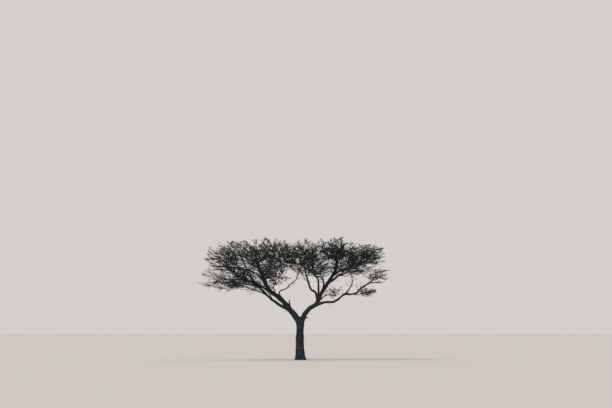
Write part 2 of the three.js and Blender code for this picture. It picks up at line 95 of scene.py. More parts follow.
# Each limb: what carries it and at what share of that one's length, the radius at its base and
# tip, and the bends that it passes through. Its mass has a middle and half sizes. The last numbers
# say how leafy the mass is, and which run of the dice its finer twigs come from.
LIMBS = {
    "stem_left": dict(
        carrier="trunk", at=0.92, radius=(0.235, 0.1),
        bends=[
            (-0.6, 0, 3.33), (-1.33, 0.04, 4.12), (-2.16, 0.1, 4.8),
            (-2.53, 0.16, 5.6), (-2.86, 0.2, 6.4),
        ],
        middle=(-3.0, 0.1, 7.15), size=(1.75, 1.6, 1.05), leafy=0.87, roll=12,
    ),
    "stem_right": dict(
        carrier="trunk", at=0.92, radius=(0.175, 0.105),
        bends=[
            (0.4, 0, 3.24), (1.14, -0.03, 3.94), (1.42, -0.05, 4.5),
            (1.93, -0.08, 5.3), (2.4, -0.1, 6.15), (2.5, -0.1, 6.7),
        ],
        middle=(2.4, -0.2, 7.25), size=(1.65, 1.7, 1.15), leafy=1.25, roll=30,
    ),
    "left_middle": dict(
        carrier="stem_left", at=0.21, radius=(0.12, 0.05),
        bends=[
            (-1.5, -0.27, 3.8), (-1.95, -0.38, 4.12), (-2.4, -0.48, 4.6),
            (-3.15, -0.6, 5.18), (-4.1, -0.75, 5.65),
        ],
        middle=(-5.05, -0.9, 6.75), size=(1.5, 1.45, 1.0), leafy=0.72, roll=5,
    ),
    "left_front_low": dict(
        carrier="left_middle", at=0.36, radius=(0.06, 0.032),
        bends=[(-2.5, -0.8, 4.55), (-3.1, -1.45, 4.72), (-3.8, -2.1, 5.0)],
        middle=(-4.3, -2.6, 5.2), size=(1.55, 1.35, 0.8), leafy=0.68, roll=9,
    ),
    "left_outer": dict(
        carrier="left_middle", at=0.68, radius=(0.06, 0.035),
        bends=[(-4.05, -0.35, 5.2), (-5.1, -0.05, 5.28)],
        middle=(-5.75, 0.05, 5.55), size=(1.35, 1.3, 0.85), leafy=0.4, roll=12,
    ),
    "left_back_low": dict(
        carrier="stem_left", at=0.52, radius=(0.085, 0.04),
        bends=[(-2.75, 0.9, 5.05), (-3.5, 1.85, 5.35)],
        middle=(-4.15, 2.6, 5.65), size=(1.6, 1.45, 0.9), leafy=0.68, roll=13,
    ),
    "left_upper": dict(
        carrier="stem_left", at=0.74, radius=(0.075, 0.04),
        bends=[(-3.1, 0.6, 5.95), (-3.9, 1.05, 6.2)],
        middle=(-4.9, 1.25, 7.1), size=(1.6, 1.45, 1.0), leafy=0.75, roll=5,
    ),
    "left_front_upper": dict(
        carrier="left_middle", at=0.6, radius=(0.07, 0.038),
        bends=[(-3.25, -1.15, 5.5), (-3.6, -1.85, 6.2)],
        middle=(-4.05, -2.4, 7.15), size=(1.5, 1.4, 1.0), leafy=0.72, roll=1,
    ),
    "left_front": dict(
        carrier="stem_left", at=0.68, radius=(0.085, 0.04),
        bends=[(-2.35, -0.8, 5.45), (-2.15, -1.75, 5.6), (-2.05, -2.5, 5.75)],
        middle=(-2.1, -3.6, 6.7), size=(1.75, 1.55, 1.1), leafy=0.75, roll=14,
    ),
    "left_back": dict(
        carrier="stem_left", at=0.7, radius=(0.085, 0.04),
        bends=[(-2.6, 1.1, 5.55), (-2.6, 2.35, 5.75)],
        middle=(-2.6, 3.5, 6.7), size=(1.85, 1.6, 1.1), leafy=0.82, roll=11,
    ),
    "left_core": dict(
        carrier="left_middle", at=0.42, radius=(0.055, 0.03),
        bends=[(-2.95, -0.3, 5.1), (-3.2, -0.3, 5.3)],
        middle=(-3.45, -0.5, 5.85), size=(1.0, 0.9, 0.7), leafy=0.9, roll=7,
    ),
    "left_low_inner": dict(
        carrier="left_middle", at=0.33, radius=(0.045, 0.025),
        bends=[(-2.2, -0.75, 4.62), (-2.35, -0.85, 4.82)],
        middle=(-2.55, -1.1, 5.05), size=(0.85, 0.6, 0.42), leafy=0.75, roll=7,
    ),
    "left_inner": dict(
        carrier="stem_left", at=0.5, radius=(0.055, 0.03),
        bends=[(-1.85, -0.2, 4.95), (-1.7, -0.4, 5.15)],
        middle=(-1.7, -0.6, 5.65), size=(1.05, 1.0, 0.75), leafy=0.9, roll=13,
    ),
    "left_inner_back": dict(
        carrier="stem_left", at=0.82, radius=(0.065, 0.038),
        bends=[(-2.2, 0.9, 6.1), (-1.6, 1.4, 6.3)],
        middle=(-0.85, 1.9, 7.1), size=(1.55, 1.45, 1.0), leafy=1.1, roll=13,
    ),
    "left_inner_front": dict(
        carrier="stem_left", at=0.86, radius=(0.065, 0.038),
        bends=[(-2.3, -0.55, 6.25), (-2.0, -1.0, 6.55)],
        middle=(-1.75, -1.4, 7.4), size=(1.35, 1.3, 0.95), leafy=0.88, roll=15,
    ),
    "centre_riser": dict(
        carrier="stem_left", at=0.36, radius=(0.05, 0.028),
        bends=[
            (-1.42, 0.1, 4.53), (-1.33, 0.12, 4.7), (-0.88, 0.22, 4.9),
            (-0.66, 0.28, 5.14), (-0.3, 0.33, 5.42), (-0.08, 0.4, 5.95),
        ],
        middle=(-0.15, 0.45, 6.5), size=(0.9, 0.9, 0.6), leafy=0.52, roll=12,
    ),
    "centre": dict(
        carrier="stem_right", at=0.4, radius=(0.095, 0.05),
        bends=[
            (1.0, -0.1, 4.6), (0.73, -0.15, 4.8), (0.61, -0.2, 5.1),
            (0.46, -0.24, 5.5), (0.35, -0.3, 6.0),
        ],
        middle=(0.15, -0.45, 7.2), size=(1.5, 1.5, 1.15), leafy=1.25, roll=30,
    ),
    "centre_front": dict(
        carrier="stem_right", at=0.43, radius=(0.078, 0.045),
        bends=[(1.24, -0.4, 5.0), (1.2, -0.95, 5.45), (0.98, -1.6, 5.72), (0.95, -2.3, 5.85)],
        middle=(0.9, -3.35, 6.8), size=(1.7, 1.65, 1.05), leafy=0.85, roll=11,
    ),
    "centre_back": dict(
        carrier="stem_right", at=0.56, radius=(0.065, 0.038),
        bends=[(1.55, 0.75, 5.55), (1.2, 1.6, 5.7), (0.95, 2.3, 5.85)],
        middle=(0.8, 3.35, 6.8), size=(1.75, 1.65, 1.05), leafy=0.85, roll=15,
    ),
    "right_inner": dict(
        carrier="stem_right", at=0.5, radius=(0.05, 0.028),
        bends=[(1.6, -0.4, 5.3), (1.45, -0.65, 5.6)],
        middle=(1.35, -0.75, 6.15), size=(0.95, 0.9, 0.65), leafy=0.65, roll=15,
    ),
    "right_upper": dict(
        carrier="stem_right", at=0.78, radius=(0.07, 0.04),
        bends=[(2.9, 0.0, 6.12), (3.5, 0.1, 6.2), (3.95, 0.15, 6.4)],
        middle=(4.6, 0.2, 7.05), size=(1.2, 1.5, 0.85), leafy=1.35, roll=12,
    ),
    "right_front": dict(
        carrier="stem_right", at=0.64, radius=(0.065, 0.038),
        bends=[(2.55, -0.85, 5.65), (2.95, -1.5, 5.8), (3.2, -2.0, 5.95)],
        middle=(3.5, -2.7, 6.85), size=(1.7, 1.6, 1.0), leafy=1.15, roll=11,
    ),
    "right_back": dict(
        carrier="stem_right", at=0.66, radius=(0.07, 0.04),
        bends=[(2.5, 0.95, 5.7), (2.85, 1.8, 5.9)],
        middle=(3.3, 2.7, 6.95), size=(1.75, 1.6, 1.05), leafy=1.15, roll=9,
    ),
    "right_low": dict(
        carrier="stem_right", at=0.24, radius=(0.098, 0.055),
        bends=[
            (1.75, -0.12, 3.95), (2.26, -0.2, 3.97), (3.1, -0.35, 4.48),
            (3.75, -0.42, 4.5), (4.2, -0.48, 4.92), (4.65, -0.52, 5.2),
        ],
        middle=(5.1, -0.55, 5.75), size=(1.1, 1.3, 0.6), leafy=0.42, roll=5,
    ),
    "right_low_riser": dict(
        carrier="right_low", at=0.56, radius=(0.052, 0.03),
        bends=[(3.35, -0.2, 4.88), (3.55, -0.05, 5.28), (3.5, 0.1, 5.7)],
        middle=(3.85, 0.3, 6.05), size=(1.0, 1.0, 0.45), leafy=0.42, roll=13,
    ),
    "right_low_side": dict(
        carrier="right_low", at=0.7, radius=(0.04, 0.024),
        bends=[(3.85, -0.2, 4.43), (4.02, -0.05, 4.46)],
        middle=(4.45, 0.15, 4.62), size=(0.75, 0.75, 0.4), leafy=0.58, roll=12,
    ),
    "right_spur": dict(
        carrier="stem_right", at=0.32, radius=(0.052, 0.03),
        bends=[(1.72, 0.12, 4.38), (2.02, 0.2, 4.42), (2.35, 0.25, 4.34)],
        middle=(2.3, 0.3, 4.7), size=(0.6, 0.6, 0.4), leafy=0.42, roll=14,
    ),
}
ROWS = list(LIMBS.values())  # in the order that numbers the masses
LEAFY = np.array([row["leafy"] for row in ROWS])
STUBS = {
    "stem_left": dict(at=0.23, towards=(-0.12, -0.1, 1), length=0.74, radius=0.075),
    "stem_right": dict(at=0.09, towards=(1, -0.1, -0.15), length=0.36, radius=0.08),
}

# The crown is joined into pieces by these regions
REGIONS = {
    "left_outer": ("left_middle", "left_front_low", "left_outer", "left_back_low", "left_upper"),
    "left_top": ("stem_left", "left_front_upper", "left_front", "left_back", "left_core"),
    "middle": (
        "left_low_inner", "left_inner", "left_inner_back", "left_inner_front", "centre_riser", "centre",
    ),
    "right_top": ("stem_right", "centre_front", "centre_back", "right_inner", "right_spur"),
    "right_outer": (
        "right_upper", "right_front", "right_back", "right_low", "right_low_riser", "right_low_side",
    ),
}


# Numbers and vectors

WORD = 2**32  # the dice count round below this
SCRAMBLE = 2654435761
DICE_STEP = (1664525, 1013904223)
CORNER_FACTORS = (73856093, 19349663, 83492791)  # large, so that the corners of the noise's grid differ
CORNER_MIX = 1274126177


def dice(seed):
    """The same run of numbers from 0 to 1 for the same seed."""
    state = (seed * SCRAMBLE) % WORD

    def roll():
        nonlocal state
        state = (state * DICE_STEP[0] + DICE_STEP[1]) % WORD
        return state / WORD

    roll()
    roll()
    return roll


def between(ends, share):
    return ends[0] + (ends[1] - ends[0]) * share


def unit(vectors):
    """The vectors with a length of one."""
    return vectors / np.linalg.norm(vectors, axis=-1, keepdims=True)


def smooth_step(low, high, values):
    share = np.clip((values - low) / (high - low), 0, 1)
    return share * share * (3 - 2 * share)


def lattice(i, j, k, seed):
    """A number from 0 to 1 for each corner of a grid."""
    a, b, c = CORNER_FACTORS
    mixed = (i * a) ^ (j * b) ^ (k * c) ^ (seed * SCRAMBLE)
    mixed = (mixed ^ (mixed >> 13)) * CORNER_MIX & 0xFFFFFFFF
    mixed = (mixed ^ (mixed >> 16)) & 0xFFFFFF
    return mixed / 0xFFFFFF


def lumps(points, seed):
    """Smooth noise from -1 to 1 with lumps one unit across."""
    cell = np.floor(points).astype(np.int64)
    part = points - cell
    part = part * part * (3 - 2 * part)
    total = 0
    for dx, dy, dz in np.ndindex(2, 2, 2):
        corner = lattice(cell[:, 0] + dx, cell[:, 1] + dy, cell[:, 2] + dz, seed)
        share_x = part[:, 0] if dx else 1 - part[:, 0]
        share_y = part[:, 1] if dy else 1 - part[:, 1]
        share_z = part[:, 2] if dz else 1 - part[:, 2]
        total = total + corner * share_x * share_y * share_z
    return 2 * total - 1


# Curves and limbs

CURVE_SHARES = np.linspace(0, 1, 201)  # by which the length along a curve is measured


def curve_through(points):
    """A centripetal curve through the points, as a function of an array of numbers from 0 to 1."""
    points = np.array(points, float)
    padded = np.vstack([2 * points[0] - points[1], points, 2 * points[-1] - points[-2]])
    gaps = np.linalg.norm(np.diff(padded, axis=0), axis=1) ** 0.5

    def at(t):
        place = t * (len(points) - 1)
        k = np.minimum(place.astype(int), len(points) - 2)
        w = (place - k)[:, None]
        p0, p1, p2, p3 = (padded[k + i] for i in range(4))
        d0, d1, d2 = (gaps[k + i][:, None] for i in range(3))
        out = ((p1 - p0) / d0 - (p2 - p0) / (d0 + d1) + (p2 - p1) / d1) * d1
        into = ((p2 - p1) / d1 - (p3 - p1) / (d1 + d2) + (p3 - p2) / d2) * d1
        start = (2 * w**3 - 3 * w**2 + 1) * p1 + (w**3 - 2 * w**2 + w) * out
        return start + (3 * w**2 - 2 * w**3) * p2 + (w**3 - w**2) * into

    return at


def arc(a, b, c):
    """A quadratic curve from a towards b and on to c."""

    def at(t):
        t = t[:, None]
        return (1 - t) ** 2 * a + 2 * (1 - t) * t * b + t**2 * c

    return at


def run_along(line):
    """How far along a line each of its points is."""
    return np.concatenate([[0], np.cumsum(np.linalg.norm(np.diff(line, axis=0), axis=1))])


def length_of(at):
    return run_along(at(CURVE_SHARES))[-1]


def spaced(at, steps):
    """Points along a curve at equal steps of its length."""
    run = run_along(at(CURVE_SHARES))
    return at(np.interp(np.linspace(0, run[-1], steps + 1), run, CURVE_SHARES))


class Limb:
    """The rings that the rule starts from, the curve through them, and the radius along it."""

    def __init__(self, rings, radius_at, at=None):
        self.rings = rings
        self.radius_at = radius_at
        self.at = at

    def point(self, share):
        place = share * (len(self.rings) - 1)
        ring = min(int(place), len(self.rings) - 2)
        return self.rings[ring] + (self.rings[ring + 1] - self.rings[ring]) * (place - ring)

    def ahead(self, share):
        ring = min(int(share * (len(self.rings) - 1)), len(self.rings) - 2)
        return unit(self.rings[ring + 1] - self.rings[ring])

    def foot_radii(self):
        """The radius at the foot of each stretch between two rings."""
        stretches = len(self.rings) - 1
        return [self.radius_at(k / stretches) for k in range(stretches)]


def trunk_middle(share):
    bow = -TRUNK_LEAN["bow"] * np.sin(np.pi * share)
    across = TRUNK_LEAN["across"] * share + bow
    return np.stack([across, TRUNK_LEAN["front"] * share, TRUNK_HEIGHT * share], axis=-1)


def trunk_radius(share, angle):
    fade = np.exp(-share * TRUNK_HEIGHT / FLARE["height"])
    taper = between((TRUNK_RADIUS["waist"], TRUNK_RADIUS["top"]), share)
    flare = (TRUNK_RADIUS["ground"] - TRUNK_RADIUS["waist"]) * fade
    swell = flare + FORK["swell"] * np.exp((share - 1) * TRUNK_HEIGHT / FORK["height"])
    lobes = np.cos(FLARE["lobes"] * angle + np.sin(2 * angle))
    return (taper + swell) * (1 + FLARE["depth"] * fade * fade * lobes)


def make_trunk():
    rings = trunk_middle(np.array(TRUNK_RINGS))

    def radius_at(place):
        share = TRUNK_RINGS[int(place * (len(TRUNK_RINGS) - 1) + 0.5)]
        return trunk_radius(share, 0.0)

    return Limb(rings, radius_at)


def make_limb(row, carrier):
    at = curve_through([carrier.point(row["at"]), *row["bends"]])
    steps = max(LIMB_STEPS["least"], int(length_of(at) / LIMB_STEPS["length"] + 0.5))
    widest = COLLAR["most"] * carrier.radius_at(row["at"])

    def radius_at(share):
        collar = 1 + COLLAR["swell"] * np.exp(-share / COLLAR["reach"])
        return np.minimum(widest, between(row["radius"], share**LIMB_TAPER) * collar)

    return Limb(spaced(at, steps), radius_at, at)


def make_mass_stem(row, limb):
    """The stem that carries on from a limb's tip into the space of its mass."""
    first = limb.ahead(1)
    root = limb.point(1) + first * GAP
    end = np.array(row["middle"]) - UP * (MASS_STEM["below"] * row["size"][2])
    knee = root + first * (MASS_STEM["knee"] * np.linalg.norm(end - root))
    at = arc(root, knee, end)
    radius = limb.radius_at(1)
    return Limb(spaced(at, MASS_STEM["steps"]), lambda share: radius * (1 - MASS_STEM["taper"] * share), at)


# Where twigs may go

AT_A_TIME = 4000  # points that are tested together, which saves memory


class Crown:
    """The spaces of the masses, and the limbs and stems that twigs keep clear of."""

    def __init__(self, limbs, stems):
        low, high = np.array(cad_box)
        self.low = low - BOX_MARGIN * (high - low)
        self.high = high + BOX_MARGIN * (high - low)
        self.middles = np.array([row["middle"] for row in ROWS])
        self.sizes = np.array([row["size"] for row in ROWS])
        self.means = self.sizes.mean(axis=1)
        parts = [(-1, limb) for limb in limbs] + list(enumerate(stems))
        self.starts = np.vstack([limb.rings[:-1] for _, limb in parts])
        self.ends = np.vstack([limb.rings[1:] for _, limb in parts])
        self.owner = np.concatenate([[i] * (len(limb.rings) - 1) for i, limb in parts])
        self.reach = LIMB_CLEARANCE + np.concatenate([limb.foot_radii() for _, limb in parts])

    def in_space(self, masses, points, past, apart, power):
        """Whether each point is in the own space of its mass, or a little past it, and not in others.

        The power makes the spaces boxier: two gives ellipsoids.
        """
        out = (np.abs((points[:, None] - self.middles) / self.sizes) ** power).sum(axis=2) ** (1 / power)
        rows = np.arange(len(points))
        own = out[rows, masses].copy()
        out[rows, masses] = np.inf
        in_box = (points > self.low).all(axis=1) & (points < self.high).all(axis=1)
        return (own <= 1 + past) & (out.min(axis=1) > own + apart) & in_box

    def clear_of_limbs(self, masses, points):
        line = self.ends - self.starts
        share = ((points[:, None] - self.starts) * line).sum(axis=2) / (line * line).sum(axis=1)
        near = self.starts + np.clip(share, 0, 1)[..., None] * line
        gap = np.linalg.norm(points[:, None] - near, axis=2)
        return ((gap > self.reach) | (self.owner == masses[:, None])).all(axis=1)

    def fits(self, masses, points, past=0, apart=SHARE_MARGIN, power=2):
        masses = np.broadcast_to(masses, len(points))
        good = self.in_space(masses, points, past, apart, power)
        for start in range(0, len(points), AT_A_TIME):
            rows = start + np.flatnonzero(good[start : start + AT_A_TIME])
            good[rows] = self.clear_of_limbs(masses[rows], points[rows])
        return good


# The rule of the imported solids, and the finer twigs that follow it

SQUASH = np.array([1, 1, 0.75])  # twigs lean out further than up or down
LIFT = np.array([0, 0, 0.15])
HEART = {"at": np.array([0.3, 0.0, 5.7]), "reach": 4.5, "squash": 0.6}  # that finer twigs sweep away from
ZIGZAG = 0.42  # as a share of the bend
TWIG_STEPS = 6
TWIG_BEND = 0.05
TWIG_TIP = 0.42  # the radius at a twig's tip, as a share of that at its foot
TWIG_ON_BEARER = 0.85  # the most of its bearer's radius that a twig has at its foot
STOUTER = {"twigs": 1.8, "stalks": 1.35}  # than in the solids, as the eye makes them out in the crown
TWIG_SAG = {"twigs": (0, 0.35), "stalks": (0, 0.5)}


def leaning(along, lean, turn):
    """Directions at a lean from the parent's, turned round it, then squashed and lifted a little."""
    side = unit(np.cross(UP, along))
    turn = np.asarray(turn)[..., None]
    lean = np.asarray(lean)[..., None]
    side = side * np.cos(turn) + np.cross(along, side) * np.sin(turn)
    way = along * np.cos(lean) + side * np.sin(lean)
    return unit(way * SQUASH + LIFT)


def swept(ways, starts, sweep):
    """The directions turned outwards from the heart of the crown, more so far out, and flattened."""
    outward = (starts - HEART["at"]) / HEART["reach"]
    outward = outward / np.maximum(1, np.linalg.norm(outward, axis=-1, keepdims=True))
    return unit((ways + sweep * outward) * [1, 1, 1 - HEART["squash"] * sweep])


class Shoots:
    """Many twigs of one order: points along each, radii there, and its mass and spray."""

    def __init__(self, lines, radii, masses, sprays):
        self.lines = np.asarray(lines, float)
        self.radii = np.asarray(radii, float)
        self.masses = np.asarray(masses)
        self.sprays = np.asarray(sprays)

    def at(self, shares):
        """The point, direction and radius at one share of each twig's length."""
        steps = self.lines.shape[1] - 1
        place = shares * steps
        k = np.minimum(place.astype(int), steps - 1)
        rows = np.arange(len(k))
        part = (place - k)[:, None]
        low, high = self.lines[rows, k], self.lines[rows, k + 1]
        radius = self.radii[rows, k] * (1 - part[:, 0]) + self.radii[rows, k + 1] * part[:, 0]
        return low + (high - low) * part, unit(high - low), radius

    def only(self, rows):
        return Shoots(self.lines[rows], self.radii[rows], self.masses[rows], self.sprays[rows])


def crooked(starts, ends, steps, bend, sag, rng):
    """Lines from starts to ends that zigzag, bow and sag, so that their tips turn up."""
    shares = np.linspace(0, 1, steps + 1)[:, None]
    lines = starts[:, None] + (ends - starts)[:, None] * shares
    length = np.linalg.norm(ends - starts, axis=1)[:, None, None]
    bow = rng.normal(size=(len(starts), 1, 3)) * np.sin(np.pi * shares)
    zigzag = rng.normal(size=(len(starts), steps + 1, 3)) * ZIGZAG
    zigzag[:, [0, -1]] = 0
    drop = UP * shares * (1 - shares) * rng.uniform(*sag, (len(starts), 1, 1))
    return lines + ((bow + zigzag) * bend - drop) * length


class Growth:
    """The twigs and spray stalks in the space of one mass, grown from its stem.

    Each is its mass, which of the stems and twigs bears it and at what share of that one's length,
    where it ends, and its radius at the foot. The bearers are the mass's stem and then its twigs, as
    the number of each, the seed that its stalks go by, and its line. First is the number that the
    first twig gets.
    """

    def __init__(self, crown, mass, stem, first):
        self.crown = crown
        self.mass = mass
        self.stem = stem
        self.first = first
        self.taken = []
        self.bearers = [(mass, (mass + 2) * SEEDS["mass"] - 1, stem)]
        self.twigs = []
        self.stalks = []

    def best_end(self, bearer, share, kind, reach, seed):
        """The best of several ends: it keeps to the space and is furthest from the spots taken."""
        roll = dice(seed)
        rolls = np.array([[roll(), roll(), roll()] for _ in range(TRIES)])
        start = bearer.point(share)
        lean = np.radians(between(kind["lean"], rolls[:, 0]))
        ways = leaning(bearer.ahead(share), lean, 2 * np.pi * rolls[:, 1])
        if kind["sweep"] > 0:
            ways = swept(ways, start, kind["sweep"])
        lengths = between(reach, rolls[:, 2])
        ends = start + ways * lengths[:, None]
        halves = start + ways * (0.5 * lengths[:, None])
        good = self.crown.fits(self.mass, ends) & self.crown.fits(self.mass, halves)
        room = lengths.copy()
        if self.taken:
            spots = np.array(self.taken)
            for points in (ends, halves):
                near = np.linalg.norm(points[:, None] - spots, axis=2).min(axis=1)
                room = np.minimum(room, near)
        room = np.where(good, room, 0)
        best = int(np.argmax(room))
        if room[best] <= 0:
            return None
        self.taken.extend([halves[best], ends[best]])
        return ends[best]

    def add_twigs(self, kind, wanted, first_seed):
        """Twigs at even steps along the stem, where they fit."""
        reach = [end * self.crown.means[self.mass] for end in kind["reach"]]
        count = max(2, int(wanted + 0.5))
        for k in range(count):
            share = between(kind["along"], k / (count - 1))
            end = self.best_end(self.stem, share, kind, reach, first_seed + k)
            if end is not None:
                twig = Limb(np.array([self.stem.point(share), end]), None)
                self.bearers.append((self.first + len(self.twigs), first_seed + k, twig))
                foot = max(kind["least"], kind["on_stem"] * self.stem.radius_at(share))
                self.twigs.append((self.mass, self.mass, share, end, foot))

    def add_stalks(self, kind):
        """Stalks on the stem and its twigs, where they fit."""
        for number, bearer_seed, bearer in self.bearers:
            shares = kind["stem"] if bearer is self.stem else kind["twigs"]
            for k, share in enumerate(shares):
                seed = kind["seed"] + bearer_seed * SEEDS["twig"] + k
                end = self.best_end(bearer, share, kind, kind["length"], seed)
                if end is not None:
                    self.stalks.append((self.mass, number, share, end, STALK_RADIUS))


def grow_masses(crown, stems):
    """The twigs and stalks of every mass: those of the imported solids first, then more between them."""
    twigs = []
    stalks = []
    for i, stem in enumerate(stems):
        growth = Growth(crown, i, stem, len(stems) + len(twigs))
        growth.add_twigs(TWIGS, TWIGS["per_metre"] * crown.means[i], (i + 1) * SEEDS["mass"])
        growth.add_stalks(STALKS)
        seed = MORE_TWIGS["seed"] + MORE_TWIGS["roll"] * ROWS[i]["roll"] + i * SEEDS["mass"]
        growth.add_twigs(MORE_TWIGS, MORE_TWIGS["share"] * len(growth.twigs), seed)
        growth.add_stalks(MORE_STALKS)
        twigs += growth.twigs
        stalks += growth.stalks
    return twigs, stalks


def rooted(bearers, rows, stouter, sag, rng):
    """Crooked twigs that start on the crooked lines of what bears them."""
    masses, sources, shares, ends, feet = (np.array(column) for column in zip(*rows))
    starts, _, thick = bearers.only(sources).at(shares)
    lines = crooked(starts, ends, TWIG_STEPS, TWIG_BEND, sag, rng)
    taper = np.linspace(1, TWIG_TIP, TWIG_STEPS + 1)
    feet = np.minimum(stouter * feet, TWIG_ON_BEARER * thick)
    return Shoots(lines, feet[:, None] * taper, masses, np.arange(len(masses)))


def together(*lots):
    """Several lots of shoots as one."""
    columns = zip(*[(lot.lines, lot.radii, lot.masses, lot.sprays) for lot in lots])
    return Shoots(*[np.concatenate(column) for column in columns])


TWIG_ROLL = 41  # where the random numbers of the twigs start
ALL_SPRIGS = 1.2  # how leafy a mass is that has all its sprigs
SPRIGS = dict(
    count=5, first=0.1, spread=(0.1, 1.0), lean=(12, 46), turn=0.75, length=(0.16, 0.42), tries=5,
    radii=(0.0055, 0.0025), on_bearer=0.75, steps=3, bend=0.06, sag=(-0.1, 0.55),
    past=0.16, apart=-0.12, power=3, sweep=0.45,
)
TWIG_SPRIGS = {**SPRIGS, "lean": (25, 70)}
SHOOT_SPRIGS = {**SPRIGS, "past": 2.0, "apart": -3.0}  # these grow outside the spaces of the masses too
# The root is the part inside the limb that the length leaves out, as a share of the limb's radius
SPURS = dict(
    gap=0.38, along=(0.16, 0.97), lean=(35, 80), length=(0.1, 0.5), root=0.5,
    radius=0.012, on_bearer=0.4, steps=4, bend=0.09, sag=(-0.2, 0.6),
)
SIDE_SHOOTS = dict(
    gap=0.15, stretch=1.2, most=0.4, from_tip=(1.6, 0.6), lean=(35, 75), length=(0.3, 0.6), root=0.0,
    radius=0.015, on_bearer=0.6, steps=TWIG_STEPS, bend=0.07, sag=(-0.1, 0.5),
)
SIDE_START = 0.5  # how far out from a limb's middle to its skin a spur or side shoot starts
SIDE_TIP = 0.4  # the radius at its tip, as a share of that at its foot


def sprout(parents, kind, crown, rng):
    """Finer twigs that leave their parents by turns to either side, where they fit."""
    count = kind["count"]
    rows = np.repeat(np.arange(len(parents.lines)), count)
    number = np.tile(np.arange(count), len(parents.lines))
    grown = rng.uniform(size=len(rows)) < LEAFY[parents.masses[rows]] / ALL_SPRIGS
    rows, number = rows[grown], number[grown]
    source = parents.only(rows)
    first = kind["first"]
    shares = first + (1 - first) * (number + rng.uniform(*kind["spread"], len(rows))) / count
    starts, along, thick = source.at(shares)
    past = kind["past"] * rng.uniform(0, 1, len(rows)) ** 2
    ends = np.zeros_like(starts)
    placed = np.zeros(len(rows), bool)
    for _ in range(kind["tries"]):
        todo = np.flatnonzero(~placed)
        turn = np.pi * (number[todo] % 2) + rng.normal(0, kind["turn"], len(todo))
        lean = np.radians(rng.uniform(*kind["lean"], len(todo)))
        ways = swept(leaning(along[todo], lean, turn), starts[todo], kind["sweep"])
        tips = starts[todo] + ways * rng.uniform(*kind["length"], len(todo))[:, None]
        good = crown.fits(source.masses[todo], tips, past[todo], kind["apart"], kind["power"])
        ends[todo[good]] = tips[good]
        placed[todo[good]] = True
    keep = np.flatnonzero(placed)
    lines = crooked(starts[keep], ends[keep], kind["steps"], kind["bend"], kind["sag"], rng)
    foot, tip = kind["radii"]
    feet = np.minimum(foot, kind["on_bearer"] * thick[keep])
    taper = np.linspace(1, tip / foot, kind["steps"] + 1)
    return Shoots(lines, feet[:, None] * taper, source.masses[keep], source.sprays[keep])


def spur_places(line, rng):
    """Points all along a limb where bare spurs stand."""
    shares = rng.uniform(*SPURS["along"], int(run_along(line)[-1] / SPURS["gap"]))
    return (shares * (len(line) - 2)).astype(int)


def side_shoot_places(line, rng):
    """Points on the stretch of a limb where it comes to its mass."""
    run = run_along(line)
    stretch = min(SIDE_SHOOTS["stretch"], SIDE_SHOOTS["most"] * run[-1])
    first, last = (run[-1] - share * stretch for share in SIDE_SHOOTS["from_tip"])
    return np.searchsorted(run, rng.uniform(first, last, int(stretch / SIDE_SHOOTS["gap"])))


def grow_from_limbs(wood_lines, places_on, kind, rng):
    """Shoots that leave the limbs at the places that a function picks on each."""
    rows = []
    for i, (line, radii) in enumerate(wood_lines):
        for k in places_on(line, rng):
            lean = math.radians(rng.uniform(*kind["lean"]))
            way = leaning(unit(line[k + 1] - line[k]), lean, rng.uniform(0, 2 * math.pi))
            length = rng.uniform(*kind["length"]) + kind["root"] * radii[k]
            foot = min(kind["radius"], kind["on_bearer"] * radii[k])
            rows.append((line[k] + way * SIDE_START * radii[k], way * length, foot, i))
    starts, ways, feet, masses = (np.array(column) for column in zip(*rows))
    lines = crooked(starts, starts + ways, kind["steps"], kind["bend"], kind["sag"], rng)
    taper = np.linspace(1, SIDE_TIP, kind["steps"] + 1)
    return Shoots(lines, feet[:, None] * taper, masses, np.arange(len(masses)))


def grow_twigs(crown, stems, wood_lines):
    """The twigs of every order beyond the masses' stems, which are part of the wood."""
    rng = np.random.RandomState(TWIG_ROLL)
    rows, stalk_rows = grow_masses(crown, stems)
    lines = [spaced(stem.at, TWIG_STEPS) for stem in stems]
    radii = [stem.radius_at(np.linspace(0, 1, TWIG_STEPS + 1)) for stem in stems]
    numbers = np.arange(len(stems))
    bearers = Shoots(lines, radii, numbers, numbers)
    twigs = rooted(bearers, rows, STOUTER["twigs"], TWIG_SAG["twigs"], rng)
    stalks = rooted(together(bearers, twigs), stalk_rows, STOUTER["stalks"], TWIG_SAG["stalks"], rng)
    spurs = grow_from_limbs(wood_lines, spur_places, SPURS, rng)
    sprigs = sprout(stalks, SPRIGS, crown, rng)
    side_shoots = grow_from_limbs(wood_lines, side_shoot_places, SIDE_SHOOTS, rng)
    shoot_sprigs = sprout(side_shoots, SHOOT_SPRIGS, crown, rng)
    twig_sprigs = sprout(twigs, TWIG_SPRIGS, crown, rng)
    return [twigs, together(stalks, side_shoots), spurs, together(sprigs, shoot_sprigs, twig_sprigs)]


# Meshes from arrays

SIDEWAYS = [0.0, 1.0, 0.02]  # no line starts along this


def add_object(name, data):
    thing = bpy.data.objects.new(name, data)
    bpy.context.scene.collection.objects.link(thing)
    return thing


